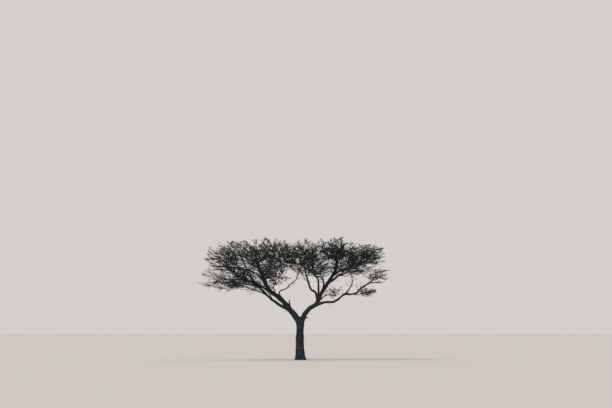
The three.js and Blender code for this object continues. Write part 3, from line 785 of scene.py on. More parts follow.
def new_mesh(name, points, triangles, smooth, materials=(), kinds=None):
    """An object made of triangles, with a material for each kind."""
    mesh = bpy.data.meshes.new(name)
    mesh.vertices.add(len(points))
    mesh.vertices.foreach_set("co", np.ascontiguousarray(points, np.float32).ravel())
    mesh.loops.add(3 * len(triangles))
    mesh.loops.foreach_set("vertex_index", np.ascontiguousarray(triangles, np.int32).ravel())
    mesh.polygons.add(len(triangles))
    mesh.polygons.foreach_set("loop_start", np.arange(0, 3 * len(triangles), 3, dtype=np.int32))
    mesh.polygons.foreach_set("use_smooth", np.full(len(triangles), smooth))
    for material in materials:
        mesh.materials.append(material)
    if kinds is not None:
        mesh.polygons.foreach_set("material_index", np.ascontiguousarray(kinds, np.int32))
    mesh.update(calc_edges=True)
    return add_object(name, mesh)


def frames_along(lines):
    """Two directions across each line at each of its points, carried along without a twist."""
    ahead = np.empty_like(lines)
    ahead[:, 1:-1] = lines[:, 2:] - lines[:, :-2]
    ahead[:, 0] = lines[:, 1] - lines[:, 0]
    ahead[:, -1] = lines[:, -1] - lines[:, -2]
    ahead = unit(ahead)
    across = np.empty_like(lines)
    across[:, 0] = unit(np.cross(SIDEWAYS, ahead[:, 0]))
    for k in range(1, lines.shape[1]):
        carried = across[:, k - 1]
        carried = carried - ahead[:, k] * (carried * ahead[:, k]).sum(axis=1, keepdims=True)
        across[:, k] = unit(carried)
    return ahead, across, np.cross(ahead, across)


def tubes(lines, radii, sides, pointed):
    """Closed tubes round the lines: points and triangles. A pointed tube ends in one point."""
    count, rings = lines.shape[:2]
    ahead, across, other = frames_along(lines)
    angles = 2 * np.pi * np.arange(sides) / sides
    cosines, sines = np.cos(angles)[:, None], np.sin(angles)[:, None]
    outward = across[:, :, None] * cosines + other[:, :, None] * sines
    walls = lines[:, :, None] + outward * radii[..., None, None]
    if pointed:
        walls = walls[:, :-1]
        rings -= 1
    points = walls.reshape(count, rings * sides, 3)
    points = np.concatenate([points, lines[:, :1], lines[:, -1:]], axis=1)
    side = np.arange(sides)
    after = (side + 1) % sides
    faces = []
    for k in range(rings - 1):
        low, high = k * sides, (k + 1) * sides
        faces.append(np.stack([low + side, low + after, high + after], axis=1))
        faces.append(np.stack([low + side, high + after, high + side], axis=1))
    foot, tip = rings * sides, rings * sides + 1
    last = (rings - 1) * sides
    faces.append(np.stack([np.full(sides, foot), after, side], axis=1))
    faces.append(np.stack([np.full(sides, tip), last + side, last + after], axis=1))
    faces = np.vstack(faces)
    triangles = faces[None] + np.arange(count)[:, None, None] * points.shape[1]
    return points.reshape(-1, 3), triangles.reshape(-1, 3)


def joined(parts):
    """Several lots of points and triangles as one."""
    points = []
    triangles = []
    count = 0
    for some_points, some_triangles in parts:
        points.append(some_points)
        triangles.append(some_triangles + count)
        count += len(some_points)
    return np.vstack(points), np.vstack(triangles)


# Wood with the relief of its bark

BARK = {
    "voxel": 0.0168,
    "smoothing": 7,
    "ridge_gap": (0.016, 0.15),  # between ridges: at no radius, and more for each metre of radius
    "stretch": 4.5,  # how much longer the ridges are than wide
    "depth": (0.003, 0.055),
    "level": 0.6,  # how far up the plates the skin stays where it is
    "swellings": 0.07,  # as a share of the radius
    "waves": ((0.34, 1.0, 5), (0.13, 0.5, 6)),  # of the swellings: size, share and run of the noise
    "apart": 17.3,  # between the grain of one limb and that of the next
}
PLATES = {"wander_size": 0.7, "wander": 0.4, "fissure": (0.02, 0.34), "fine_size": 2.3, "fine": (0.72, 0.28)}
PLATE_RUNS = {"wander": (21, 22, 23), "cells": 41, "fine": 2}  # which runs of the noise they use
SEAM = {"jump": (1.0, 2.0), "rounds": 4, "fade": 0.72, "level": 0.5}
CROOK = {"wave": 0.42, "size": 0.042, "finer": 2.7, "finer_share": 0.3, "runs": (31, 32)}
CROOK_LANES = (0.5, 3.5, 6.5)  # lanes of the noise that bend a limb along each axis
CROOK_ENDS = 5  # crooks and knobs fade out over one part of this many at either end of a limb
KNOBS = {"size": 0.1, "pace": 2, "lane": 9.5}
FINE_STEP = 0.04
SOFT_ROUNDS = 60
SOFT_HEART = 0.55  # the share of a soft spot's reach within which it is smoothed most
FORK_SOFT = ((0.97, 0.44), (0.84, 0.5), (0.7, 0.55))  # heights by the trunk's, and reaches round them
CROTCH = {"point": 2, "reach": 1.4}  # where a bough leaves its stem, by the radius of the stem
TRUNK_TUBE = {"steps": 90, "sides": 72, "narrower": 0.45, "from": 0.86}  # narrower at the top than the trunk
TRUNK_GRAIN = {"points": 51, "end": 0.5}  # the share of the trunk's height where the stems take it over
# A stem's root runs up inside the trunk between two shares of its height, and then bends out to the
# point of the stem that it skips to. Its foot is thinner than the stem by a share.
STEM_ROOT = {"from": 0.45, "bend": 0.6, "steps": (12, 32), "skip": 10, "foot": 0.55}
OWN_BARK = (1.1, 2.1)  # how far along a stem its bark goes over from the trunk's to its own
STUB_END = {"taper": 0.6, "rounding": 0.55, "skip": 0.14}
STUB_SHARES = np.linspace(0, 1, 9)
COLLAR_TUBE = {"length": 0.5, "foot": 1.16, "taper": 0.34}  # a bough's foot, one skin with its stem
BOUGH_SKIP = 0.9  # the part of the carrier's radius that a bough's foot is inside it
SIDES = {"stem": 32, "stub": 14, "collar": 18, "bough": 14}
BELOW = 0.08  # how far the wood runs below the flat cut before it is cut off


class Bark:
    """Finds the place of a point on the limbs, in a frame that follows each limb's grain."""

    def __init__(self):
        self.middles = []
        self.rows = []
        self.count = 0

    def add(self, line, radii, skip, start=0.0, offset=None):
        """Takes a limb, without the first stretch that is inside what carries it.

        The start and the offset are given where a limb carries on the grain of another. It gives
        back how far along the grain each point of the line is.
        """
        if offset is None:
            offset = BARK["apart"] * self.count
        self.count += 1
        ahead, across, other = (a[0] for a in frames_along(line[None]))
        step = np.linalg.norm(np.diff(line, axis=0), axis=1)
        gap = BARK["ridge_gap"][0] + BARK["ridge_gap"][1] * radii
        longer = BARK["stretch"] * (gap[1:] + gap[:-1]) / 2
        along = start + np.concatenate([[0], np.cumsum(step / longer)])
        for k in np.flatnonzero(run_along(line) >= skip):
            self.middles.append(line[k])
            self.rows.append((*ahead[k], *across[k], *other[k], along[k], radii[k], gap[k], offset))
        return along

    def close(self):
        self.tree = kdtree.KDTree(len(self.middles))
        for i, middle in enumerate(self.middles):
            self.tree.insert(middle, i)
        self.tree.balance()
        self.middles = np.array(self.middles)
        self.rows = np.array(self.rows)

    def grain(self, points):
        """Places in the grain's frame, and the radius of the limb there."""
        near = np.array([self.tree.find(p)[1] for p in points])
        rows = self.rows[near]
        off = points - self.middles[near]
        ahead, across, other = rows[:, 0:3], rows[:, 3:6], rows[:, 6:9]
        along, radius, gap, offset = rows[:, 9:].T
        u = (off * across).sum(axis=1) / gap + offset
        v = (off * other).sum(axis=1) / gap
        w = (off * ahead).sum(axis=1) / (gap * BARK["stretch"]) + along
        return np.stack([u, v, w], axis=1), radius


def cell_edges(points, seed):
    """How far each place is from the edges between uneven cells about one unit across."""
    cell = np.floor(points).astype(np.int64)
    nearest = np.full(len(points), np.inf)
    second = nearest.copy()
    for step in np.ndindex(3, 3, 3):
        other = cell + np.array(step) - 1
        i, j, k = other.T
        spot = other + np.stack([lattice(i, j, k, seed + n) for n in range(3)], axis=1)
        away = np.linalg.norm(points - spot, axis=1)
        second = np.minimum(second, np.maximum(nearest, away))
        nearest = np.minimum(nearest, away)
    return second - nearest


def plates(grain):
    """How far up the bark's plates each place is: 0 in a fissure and 1 on a ridge."""
    place = grain * PLATES["wander_size"]
    wander = np.stack([lumps(place, run) for run in PLATE_RUNS["wander"]], axis=1)
    warped = grain + PLATES["wander"] * wander
    wide = smooth_step(*PLATES["fissure"], cell_edges(warped, PLATE_RUNS["cells"]))
    fine = 0.5 + 0.5 * lumps(warped * PLATES["fine_size"], PLATE_RUNS["fine"])
    level, share = PLATES["fine"]
    return wide * (level + share * fine)


def seams(grain, edges):
    """How near each vertex is to where the grain of one limb meets that of another."""
    jump = np.linalg.norm(grain[edges[:, 0]] - grain[edges[:, 1]], axis=1)
    torn = smooth_step(*SEAM["jump"], jump)
    near = np.zeros(len(grain))
    for ends in (edges[:, 0], edges[:, 1]):
        np.maximum.at(near, ends, torn)
    for _ in range(SEAM["rounds"]):
        spread = near.copy()
        np.maximum.at(spread, edges[:, 0], SEAM["fade"] * near[edges[:, 1]])
        np.maximum.at(spread, edges[:, 1], SEAM["fade"] * near[edges[:, 0]])
        near = spread
    return near


def carve(mesh, bark):
    """Moves the skin out or in by the bark's relief, and stores the grain for the bark's looks."""
    points = vertex_vectors(mesh, "co")
    normals = vertex_vectors(mesh, "normal")
    grain, radius = bark.grain(points)
    seam = seams(grain, vertex_pairs(mesh))
    ridge = plates(grain) * (1 - seam) + SEAM["level"] * seam
    depth = BARK["depth"][0] + BARK["depth"][1] * radius
    swell = sum(share * lumps(points / size, run) for size, share, run in BARK["waves"])
    move = depth * (ridge - BARK["level"]) + BARK["swellings"] * radius * swell
    set_points(mesh, points + normals * move[:, None])
    store(mesh, "grain", "FLOAT_VECTOR", "vector", grain)
    store(mesh, "plates", "FLOAT", "value", ridge)
    store(mesh, "seam", "FLOAT", "value", seam)


def store(mesh, name, kind, key, values):
    """Keeps a number or a vector for each vertex, for the materials."""
    kept = mesh.attributes.new(name, kind, "POINT")
    kept.data.foreach_set(key, np.ascontiguousarray(values, np.float32).ravel())


def set_points(mesh, points):
    mesh.vertices.foreach_set("co", points.astype(np.float32).ravel())
    mesh.update()


def vertex_vectors(mesh, key):
    """The places or the normals of a mesh's vertices."""
    vectors = np.empty(3 * len(mesh.vertices), np.float32)
    mesh.vertices.foreach_get(key, vectors)
    return vectors.reshape(-1, 3).astype(float)


def vertex_pairs(mesh):
    """The two vertices of each edge."""
    pairs = np.empty(2 * len(mesh.edges), np.int32)
    mesh.edges.foreach_get("vertices", pairs)
    return pairs.reshape(-1, 2)


def fine_line(limb, stem, seed):
    """A limb's line with the small crooks of its growth, and on along the stem of its mass."""
    length = length_of(limb.at)
    steps = int(length / FINE_STEP)
    shares = np.linspace(0, 1, steps + 1)
    run = shares * length / CROOK["wave"]
    crook = np.stack([crooks(run, seed, lane) for lane in CROOK_LANES], axis=1)
    ends = np.minimum(1, CROOK_ENDS * np.minimum(shares, 1 - shares))
    line = spaced(limb.at, steps) + crook * (ends * CROOK["size"])[:, None]
    knobs = 1 + KNOBS["size"] * ends * crooks(KNOBS["pace"] * run, seed, KNOBS["lane"])
    steps = int(length_of(stem.at) / FINE_STEP)
    onward = np.linspace(0, 1, steps + 1)[1:]
    line = np.vstack([line, spaced(stem.at, steps)[1:]])
    radii = limb.radius_at(shares) * knobs
    return line, np.concatenate([radii, stem.radius_at(onward)])


def crooks(run, seed, lane):
    """Uneven waves along a limb, with finer ones on them."""
    place = np.stack([run, 0 * run + seed, 0 * run + lane], axis=1)
    wide, narrow = CROOK["runs"]
    return lumps(place, wide) + CROOK["finer_share"] * lumps(place * CROOK["finer"], narrow)


def from_inside(line, radii):
    """The line of a stem with a root that runs up inside the trunk and bends out into the stem."""
    skip = STEM_ROOT["skip"]
    steps = STEM_ROOT["steps"]
    upright = trunk_middle(np.linspace(STEM_ROOT["from"], STEM_ROOT["bend"], steps[0]))
    bend = spaced(arc(upright[-1], line[0], line[skip]), steps[1])
    deep = np.vstack([upright, bend[1:-1]])
    widen = np.linspace(STEM_ROOT["foot"], 1, len(deep))
    return np.vstack([deep, line[skip:]]), np.concatenate([radii[0] * widen, radii[skip:]])


def trunk_tube():
    """The trunk's closed form with its root flare, a little longer than the trunk at the foot."""
    steps, sides = TRUNK_TUBE["steps"], TRUNK_TUBE["sides"]
    shares = np.linspace(-BELOW / TRUNK_HEIGHT, 1.0, steps + 1)
    line = trunk_middle(np.clip(shares, 0, 1))
    line[:, 2] = shares * TRUNK_HEIGHT
    points, triangles = tubes(line[None], np.ones((1, steps + 1)), sides, False)
    angles = 2 * np.pi * np.arange(sides) / sides
    circle = np.stack([np.cos(angles), np.sin(angles), 0 * angles], axis=1)
    for k, share in enumerate(np.clip(shares, 0, 1)):
        narrower = 1 - TRUNK_TUBE["narrower"] * smooth_step(TRUNK_TUBE["from"], 1.0, share)
        radius = trunk_radius(share, angles) * narrower
        points[k * sides : (k + 1) * sides] = line[k] + circle * radius[:, None]
    return points, triangles


def stub_line(limb, stub):
    start = limb.point(stub["at"])
    way = unit(np.array(stub["towards"], float)) * stub["length"]
    radii = stub["radius"] * (1 - STUB_END["taper"] * STUB_SHARES)
    radii[-1] *= STUB_END["rounding"]
    return start + way * STUB_SHARES[:, None], radii


def soften_near(points, edges, soft):
    """Smooths the skin where limbs meet, so that they flow into each other."""
    weight = np.zeros(len(points))
    for middle, reach in soft:
        away = np.linalg.norm(points - middle, axis=1) / reach
        weight = np.maximum(weight, 1 - smooth_step(SOFT_HEART, 1.0, away))
    ends = np.concatenate([edges, edges[:, ::-1]])
    counts = np.bincount(ends[:, 0], minlength=len(points))
    for _ in range(SOFT_ROUNDS):
        sums = [np.bincount(ends[:, 0], points[ends[:, 1], k], len(points)) for k in range(3)]
        points = points + (np.stack(sums, axis=1) / counts[:, None] - points) * weight[:, None]
    return points


def wood_mesh(name, parts, soft, bark, material):
    """Closed tubes run together into one skin, smoothed at the crotches, carved and cut at the foot."""
    rough = new_mesh(name, *joined(parts), True)
    remesh = rough.modifiers.new("skin", "REMESH")
    remesh.mode = "VOXEL"
    remesh.voxel_size = BARK["voxel"]
    soften = rough.modifiers.new("soften", "SMOOTH")
    soften.iterations = BARK["smoothing"]
    graph = bpy.context.evaluated_depsgraph_get()
    mesh = bpy.data.meshes.new_from_object(rough.evaluated_get(graph))
    bpy.data.objects.remove(rough)
    set_points(mesh, soften_near(vertex_vectors(mesh, "co"), vertex_pairs(mesh), soft))
    carve(mesh, bark)
    flat_cut(mesh)
    mesh.materials.clear()
    mesh.materials.append(material)
    mesh.polygons.foreach_set("use_smooth", np.full(len(mesh.polygons), True))
    return add_object(name, mesh)


def flat_cut(mesh):
    """Cuts the wood off flat at ground level."""
    work = bmesh.new()
    work.from_mesh(mesh)
    whole = work.verts[:] + work.edges[:] + work.faces[:]
    cut = bmesh.ops.bisect_plane(work, geom=whole, plane_co=(0, 0, 0), plane_no=UP, clear_inner=True)
    rim = [e for e in cut["geom_cut"] if isinstance(e, bmesh.types.BMEdge)]
    bmesh.ops.holes_fill(work, edges=rim)
    bmesh.ops.triangulate(work, faces=[f for f in work.faces if len(f.verts) > 4])
    work.to_mesh(mesh)
    work.free()


def stem_bark_radii(line, radii, trunk_thick):
    """The radius that the bark goes by along a stem: the trunk's at first and then its own."""
    own = smooth_step(*OWN_BARK, run_along(line))
    return trunk_thick * (1 - own) + radii * own


def make_wood(limbs, wood_lines, material):
    """The trunk and stems as one skin, and the boughs that leave them."""
    bark = Bark()
    shares = np.linspace(0, TRUNK_GRAIN["end"], TRUNK_GRAIN["points"])
    trunk_radii = trunk_radius(shares, 0.0)
    along = bark.add(trunk_middle(shares), trunk_radii, 0)
    stem_start = np.interp(STEM_ROOT["from"], shares, along)
    heavy = [trunk_tube()]
    soft = [(trunk_middle(np.array(share)), reach) for share, reach in FORK_SOFT]
    boughs = []
    for (name, row), (line, radii) in zip(LIMBS.items(), wood_lines):
        carrier = row["carrier"]
        if carrier == "trunk":
            line, radii = from_inside(line, radii)
            heavy.append(tubes(line[None], radii[None], SIDES["stem"], False))
            bark.add(line, stem_bark_radii(line, radii, trunk_radii[-1]), 0, stem_start, 0.0)
            line, radii = stub_line(limbs[name], STUBS[name])
            heavy.append(tubes(line[None], radii[None], SIDES["stub"], False))
            bark.add(line, radii, STUB_END["skip"])
            continue
        carrier_radius = limbs[carrier].radius_at(row["at"])
        bark.add(line, radii, BOUGH_SKIP * carrier_radius)
        boughs.append(tubes(line[None], radii[None], SIDES["bough"], True))
        if carrier.startswith("stem_"):
            heavy.append(collar_tube(line, radii))
            soft.append((line[CROTCH["point"]], CROTCH["reach"] * carrier_radius))
    bark.close()
    skin = wood_mesh("trunk_and_stems", heavy, soft, bark, material)
    thing = new_mesh("boughs", *joined(boughs), True, [material])
    carve(thing.data, bark)
    return skin, thing


def collar_tube(line, radii):
    """The foot of a bough, wide where it leaves the stem and ending inside the bough."""
    run = run_along(line)
    last = int(np.searchsorted(run, COLLAR_TUBE["length"]))
    share = run[: last + 1] / run[last]
    wide = radii[: last + 1] * (COLLAR_TUBE["foot"] - COLLAR_TUBE["taper"] * share)
    return tubes(line[None, : last + 1], wide[None], SIDES["collar"], False)


# Leaves

LEAF = {
    "pinnae": 3,  # pairs on a leaf
    "foot": 0.08,  # the share of the leaf before its first pair
    "length": (0.058, 0.1),
    "width": 0.36,
    "widest": 0.8,  # the number of the widest pair, which may lie between two
    "narrower": 0.25,  # for each pair away from that
    "sweep": 0.36,
    "arch": 0.16,
    "lift": 0.05,
    "tilt": 0.55,
    "apart": 0.0295,  # along a sprig
    "lean": (20, 55),
    "turn": 0.5,
    "smaller": 0.4,  # at the tip of a sprig than at its foot
    "uneven": (0.45, 1.55),  # how full a sprig may be, by that of its mass
}
LEAF_PLACES = {"first": 0.1, "spread": (0.4, 1.0)}  # along a sprig


def leaf_pattern():
    """One feathery leaf of unit length: points and triangles."""
    pairs = LEAF["pinnae"]
    shares = np.linspace(LEAF["foot"], 1, pairs + 1)
    ribs = np.stack([shares, 0 * shares, -LEAF["arch"] * shares**2], axis=1)
    points = [*ribs]
    triangles = []
    for k in range(pairs):
        width = LEAF["width"] * (1 - LEAF["narrower"] * abs(k - LEAF["widest"]))
        for side in (1, -1):
            tip = ribs[k] + np.array([LEAF["sweep"], side * width, LEAF["lift"]])
            triangles.append((k, k + 1, len(points)) if side > 0 else (k + 1, k, len(points)))
            points.append(tip)
    return np.array(points), np.array(triangles)


def leaf_lot(shoots, fullness, rng):
    """Where the leaves of some shoots go, in pairs along them.

    Each leaf has its base, direction, size, spray and mass.
    """
    lengths = np.linalg.norm(shoots.lines[:, -1] - shoots.lines[:, 0], axis=1)
    counts = np.maximum(2, (lengths / LEAF["apart"]).astype(int))
    rows = np.repeat(np.arange(len(counts)), counts)
    number = np.arange(len(rows)) - np.repeat(np.cumsum(counts) - counts, counts)
    first = LEAF_PLACES["first"]
    step = (number + rng.uniform(*LEAF_PLACES["spread"], len(rows))) / counts[rows]
    shares = first + (1 - first) * step
    full = fullness * rng.uniform(*LEAF["uneven"], len(counts))
    lots = []
    for side in (0, 1):
        keep = rng.uniform(size=len(rows)) < full[rows]
        source = shoots.only(rows[keep])
        base, along, _ = source.at(shares[keep])
        turn = np.pi * (side + 0.5 * (number[keep] % 2)) + rng.normal(0, LEAF["turn"], len(base))
        way = leaning(along, np.radians(rng.uniform(*LEAF["lean"], len(base))), turn)
        size = rng.uniform(*LEAF["length"], len(base)) * (1 - LEAF["smaller"] * shares[keep] ** 2)
        lots.append((base, way, size, source.sprays, source.masses))
    return [np.concatenate(column) for column in zip(*lots)]


def leaf_mesh(name, bases, ways, sizes, tones, materials, rng):
    """A leaf of each size at each base, which faces up more or less."""
    pattern, triangles = leaf_pattern()
    ups = unit(UP + LEAF["tilt"] * rng.normal(size=bases.shape))
    across = unit(np.cross(ups, ways))
    ups = np.cross(ways, across)
    shape = sum(pattern[:, k, None] * way[:, None] for k, way in enumerate((ways, across, ups)))
    points = bases[:, None] + shape * sizes[:, None, None]
    faces = triangles[None] + (np.arange(len(bases)) * len(pattern))[:, None, None]
    kinds = np.repeat(tones, len(triangles))
    return new_mesh(name, points.reshape(-1, 3), faces.reshape(-1, 3), False, materials, kinds)


# Materials


class Value:
    """A socket in a material, with which expressions can be written."""

    def __init__(self, tree, socket):
        self.tree = tree
        self.socket = socket

    def math(self, operation, first, second):
        return self.tree.node("ShaderNodeMath", {"operation": operation}, {0: first, 1: second})

    def __add__(self, other):
        return self.math("ADD", self, other)

    def __sub__(self, other):
        return self.math("SUBTRACT", self, other)

    def __mul__(self, other):
        return self.math("MULTIPLY", self, other)

    def __rsub__(self, other):
        return self.math("SUBTRACT", other, self)

    __radd__ = __add__
    __rmul__ = __mul__


class Material:
    """A material and the nodes that are added to it."""

    def __init__(self, name):
        self.material = bpy.data.materials.new(name)
        self.material.use_nodes = True
        self.nodes = self.material.node_tree.nodes
        self.links = self.material.node_tree.links
        self.shader = self.nodes["Principled BSDF"]

    def node(self, kind, settings=None, sockets=None, output=0):
        """Adds a node: its settings first, then the values or links of its sockets."""
        made = self.nodes.new(kind)
        for key, value in (settings or {}).items():
            if key == "stops":
                self.set_stops(made.color_ramp, value)
            else:
                setattr(made, key, value)
        for key, value in (sockets or {}).items():
            self.feed(made.inputs[key], value)
        return Value(self, made.outputs[output])

    def noise(self, vector, scale, detail, roughness):
        sockets = {"Vector": vector, "Scale": scale, "Detail": detail, "Roughness": roughness}
        return self.node("ShaderNodeTexNoise", sockets=sockets)

    def stored(self, name, output="Fac"):
        """What the mesh keeps for each vertex under a name."""
        return self.node("ShaderNodeAttribute", {"attribute_name": name}, output=output)

    def ramp(self, stops, place):
        return self.node("ShaderNodeValToRGB", {"stops": stops}, {"Fac": place})

    def bump(self, strength, distance, height):
        sockets = {"Strength": strength, "Distance": distance, "Height": height}
        return self.node("ShaderNodeBump", sockets=sockets)

    def set_stops(self, ramp, stops):
        while len(ramp.elements) < len(stops):
            ramp.elements.new(1)
        for element, (place, colour) in zip(ramp.elements, stops):
            element.position = place
            element.color = (*colour, 1)

    def feed(self, socket, value):
        if isinstance(value, Value):
            self.links.new(value.socket, socket)
        else:
            socket.default_value = value

    def set(self, **sockets):
        """Sets or links the shader's sockets, with spaces written as underscores."""
        for key, value in sockets.items():
            self.feed(self.shader.inputs[key.replace("_", " ")], value)
        return self.material


# Each tone of the bark and how far up the ramp it lies. The low tones are painted shade in the fissures and
# fine cracks, and every tone is darkened and tinted blue-grey with painted dusk shade.
BARK_TONES_WITH_PAINTED_SHADE = [
    (0.15, (0.0035, 0.005, 0.0065)),
    (0.5, (0.018, 0.022, 0.0285)),
    (0.95, (0.066, 0.077, 0.088)),
]
BARK_SHARES = {"plates": 0.5, "fine": 0.6, "flakes": 0.37, "fibres": 0.63}
# The lichen's colour is darkened with painted dusk shade as well.
LICHEN = {"colour": (0.085, 0.09, 0.083, 1), "from": 0.82, "to": 0.98, "most": 0.5}
TWIG_STOPS = (0.3, 0.75)  # where the dark and the pale tone lie on the ramp


def bark_material():
    """Grey-brown bark darkened and tinted blue-grey with painted dusk shade: painted shade makes the
    fissures near-black, with paler weathered plates and a dusting of lichen.
    """
    bark = Material("fissured_bark")
    grain = bark.stored("grain", "Vector")
    ridge = bark.stored("plates")
    whole = 1 - bark.stored("seam")
    place = bark.node("ShaderNodeTexCoord", output="Object")
    fibres = bark.noise(grain, scale=3.4, detail=6.0, roughness=0.65)
    drift = bark.node("ShaderNodeTexNoise", sockets={"Vector": grain, "Scale": 2.0}, output="Color")
    drifted = {0: drift, 1: (0.7, 0.7, 0.7), 2: grain}
    warped = bark.node("ShaderNodeVectorMath", {"operation": "MULTIPLY_ADD"}, drifted)
    cells = {"Vector": warped, "Scale": 2.1}
    cracks = bark.node("ShaderNodeTexVoronoi", {"feature": "DISTANCE_TO_EDGE"}, cells)
    flakes = bark.node("ShaderNodeMapRange", sockets={"Value": cracks, "From Max": 0.13})
    patches = bark.noise(place, scale=2.3, detail=4.0, roughness=0.5)
    flecks = bark.noise(place, scale=38.0, detail=3.0, roughness=0.5)
    gnarl = bark.noise(place, scale=16.0, detail=6.0, roughness=0.7)
    skin = flakes * BARK_SHARES["flakes"] + fibres * BARK_SHARES["fibres"]
    fine = skin * whole + (1 - whole) * gnarl
    # The ramp runs from painted shade in the fissures and fine cracks up to the paler plates.
    colour = bark.ramp(BARK_TONES_WITH_PAINTED_SHADE, ridge * BARK_SHARES["plates"] + fine * BARK_SHARES["fine"])
    spots = {"Value": patches + flecks * 0.5, "From Min": LICHEN["from"], "From Max": LICHEN["to"]}
    lichen = bark.node("ShaderNodeMapRange", sockets=spots) * ridge * LICHEN["most"]
    mixed = {"Factor": lichen, "A": colour, "B": LICHEN["colour"]}
    colour = bark.node("ShaderNodeMix", {"data_type": "RGBA"}, mixed, output=2)
    normal = bark.bump(strength=0.9, distance=0.01, height=fine * 0.9 + ridge * 0.4)
    bark.set(Specular_IOR_Level=0.15)
    return bark.set(Base_Color=colour, Roughness=0.98 - 0.14 * ridge, Normal=normal)


def twig_material(name, dark, pale):
    """Thin bark that varies from twig to twig and along each."""
    twig = Material(name)
    place = twig.node("ShaderNodeTexCoord", output="Object")
    patches = twig.noise(place, scale=3.0, detail=2.0, roughness=0.5)
    flecks = twig.noise(place, scale=55.0, detail=4.0, roughness=0.5)
    colour = twig.ramp(list(zip(TWIG_STOPS, (dark, pale))), patches * 0.5 + flecks * 0.5)
    normal = twig.bump(strength=0.6, distance=0.002, height=flecks)
    twig.set(Specular_IOR_Level=0.12)
    return twig.set(Base_Color=colour, Roughness=0.95 - 0.1 * flecks, Normal=normal)


def plain_material(name, colour, roughness, specular):
    plain = Material(name)
    return plain.set(Base_Color=(*colour, 1), Roughness=roughness, Specular_IOR_Level=specular)


# Stage, light and camera

LENS = 150.0
SENSOR = 36.0
FARTHEST = 20000
PHOTO = {
    "width": 612, "height": 408, "metres_per_pixel": 0.068,
    "trunk_px": 300.2, "horizon_px": 333, "ground_px": 360,
}
FLOOR = {"half": 6000.0, "colour": (0.62, 0.6, 0.58), "roughness": 0.95, "specular": 0.1}
AIR = {"colour": (0.66, 0.63, 0.61, 1), "strength": 1.0}
SUN = {"energy": 1.6, "width": 25, "colour": (1.0, 0.96, 0.92), "from_above": 48, "round": -32}


def make_stage():
    """A plain pale floor out to the horizon."""
    half = FLOOR["half"]
    corners = np.array([(-half, -half, 0), (half, -half, 0), (half, half, 0), (-half, half, 0)])
    pale = plain_material("pale_floor", FLOOR["colour"], FLOOR["roughness"], FLOOR["specular"])
    floor = new_mesh("floor", corners, np.array([(0, 1, 2), (0, 2, 3)]), False, [pale])


def make_light():
    """Pale light from all round and a soft sun from the front left."""
    world = bpy.data.worlds.new("pale_air")
    world.use_nodes = True
    background = world.node_tree.nodes["Background"]
    background.inputs["Color"].default_value = AIR["colour"]
    background.inputs["Strength"].default_value = AIR["strength"]
    bpy.context.scene.world = world
    sun = bpy.data.lights.new("soft_sun", "SUN")
    sun.energy = SUN["energy"]
    sun.angle = math.radians(SUN["width"])
    sun.color = SUN["colour"]
    lamp = add_object("soft_sun", sun)
    lamp.rotation_euler = (math.radians(SUN["from_above"]), 0, math.radians(SUN["round"]))
    bpy.context.scene.view_settings.view_transform = "Standard"


def make_camera():
    """A long lens at eye level, tilted up as the photo was taken."""
    scale = PHOTO["metres_per_pixel"]
    distance = PHOTO["width"] * scale * LENS / SENSOR
    height = (PHOTO["ground_px"] - PHOTO["horizon_px"]) * scale
    rise = (PHOTO["horizon_px"] - PHOTO["height"] / 2) * scale
    across = (PHOTO["width"] / 2 - PHOTO["trunk_px"]) * scale
    camera = add_object("camera", bpy.data.cameras.new("camera"))
    camera.data.lens = LENS
    camera.data.sensor_width = SENSOR
    camera.data.clip_end = FARTHEST
    camera.location = (across, -distance, height)
    camera.rotation_mode = "QUATERNION"
    camera.rotation_quaternion = Vector((0, distance, rise)).to_track_quat("-Z", "Y")
    bpy.context.scene.camera = camera


# The tree

# The leaves' tones are darkened and tinted blue-green with painted dusk shade, far below the dull green of
# the leaves themselves.
LEAF_TONES_IN_PAINTED_SHADE = {
    "leaf_deep": (0.008, 0.021, 0.026),
    "leaf_dull": (0.025, 0.032, 0.036),
    "leaf_green": (0.016, 0.046, 0.041),
    "leaf_dry": (0.062, 0.051, 0.054),
}
LEAF_SURFACE = {"roughness": 0.6, "specular": 0.15}
# The share of each tone among the sprays of a region: the left of the crown is drier and greyer
TONE_SHARES = {
    "left_outer": (0.2, 0.35, 0.1, 0.35),
    "left_top": (0.22, 0.38, 0.12, 0.28),
    "middle": (0.25, 0.38, 0.15, 0.22),
    "right_outer": (0.3, 0.34, 0.3, 0.06),
    "right_top": (0.34, 0.28, 0.36, 0.02),
}
# The twigs' dark and pale tones are darkened with painted dusk shade.
TWIG_BARKS_IN_PAINTED_SHADE = {
    "twig_bark": ((0.015, 0.015, 0.018), (0.048, 0.046, 0.05)),
    "young_twig_bark": ((0.023, 0.02, 0.022), (0.062, 0.053, 0.053)),
}
# Of the twigs, stalks, spurs and sprigs: the sides of their tubes, and which bark they have
ORDERS = ((7, 0), (4, 1), (4, 1), (3, 1))
FULLNESS = {"least": 0.46, "more": 0.78, "rise": (-0.9, 0.5)}
LEAF_ROLL = 5  # where the random numbers of the leaves start
MOST_SPRAYS = 20000  # more than there are, as each is dealt a number for its tone


def node_name(name):
    return name if name.startswith("stem_") else "bough_" + name


def mass_name(name):
    return "foliage_" + name.replace("stem_", "top_")


def place(piece, slot, nodes):
    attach(piece, "root")
    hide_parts(*nodes)


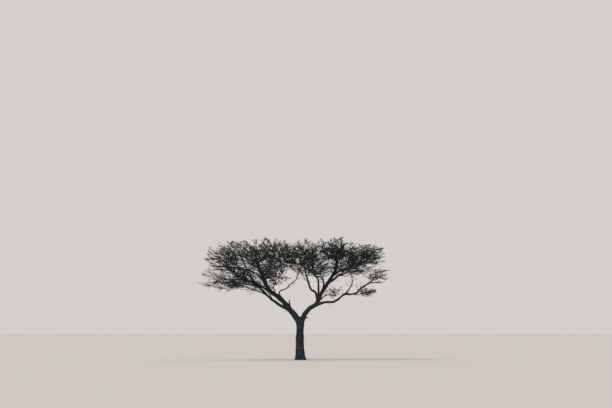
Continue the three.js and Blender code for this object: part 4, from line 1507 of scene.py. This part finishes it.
def fullness_of(shoots, crown):
    """How leafy shoots are: more at the top of a mass than below, and more in a leafy mass."""
    middle = shoots.lines.mean(axis=1)
    rise = (middle[:, 2] - crown.middles[shoots.masses, 2]) / crown.sizes[shoots.masses, 2]
    share = FULLNESS["least"] + FULLNESS["more"] * smooth_step(*FULLNESS["rise"], rise)
    return LEAFY[shoots.masses] * share


def make_crown(crown, orders):
    """The twigs and the leaves, each kind joined by region."""
    rng = np.random.RandomState(LEAF_ROLL)
    barks = [twig_material(name, dark, pale) for name, (dark, pale) in TWIG_BARKS_IN_PAINTED_SHADE.items()]
    tones = [plain_material(name, colour, **LEAF_SURFACE) for name, colour in LEAF_TONES_IN_PAINTED_SHADE.items()]
    deal = rng.random_sample(MOST_SPRAYS)
    sprigs = orders[-1]
    bases, ways, sizes, sprays, masses = leaf_lot(sprigs, fullness_of(sprigs, crown), rng)
    names = list(LIMBS)
    for region, members in REGIONS.items():
        numbers = [names.index(member) for member in members]
        nodes = [mass_name(member) for member in members]
        parts = []
        kinds = []
        for shoots, (sides, kind) in zip(orders, ORDERS):
            some = shoots.only(np.isin(shoots.masses, numbers))
            parts.append(tubes(some.lines, some.radii, sides, True))
            kinds.append(np.full(len(parts[-1][1]), kind))
        twigs = new_mesh("twigs_" + region, *joined(parts), True, barks, np.concatenate(kinds))
        place(twigs, "bark", nodes)
        here = np.isin(masses, numbers)
        tone = np.searchsorted(np.cumsum(TONE_SHARES[region])[:-1], deal[sprays[here]])
        leaves = leaf_mesh("leaves_" + region, bases[here], ways[here], sizes[here], tone, tones, rng)
        place(leaves, "foliage", nodes)


def make_tree():
    limbs = {"trunk": make_trunk()}
    for name, row in LIMBS.items():
        limbs[name] = make_limb(row, limbs[row["carrier"]])
    stems = [make_mass_stem(row, limbs[name]) for name, row in LIMBS.items()]
    crown = Crown(list(limbs.values()), stems)
    wood_lines = [fine_line(limbs[name], stem, seed) for seed, (name, stem) in enumerate(zip(LIMBS, stems))]
    skin, boughs = make_wood(limbs, wood_lines, bark_material())
    place(skin, "bark", ["trunk", "stem_left", "stem_right"])
    place(boughs, "bark", [node_name(name) for name in LIMBS if not name.startswith("stem_")])
    make_crown(crown, grow_twigs(crown, stems, wood_lines))


make_stage()
make_light()
make_camera()
make_tree()
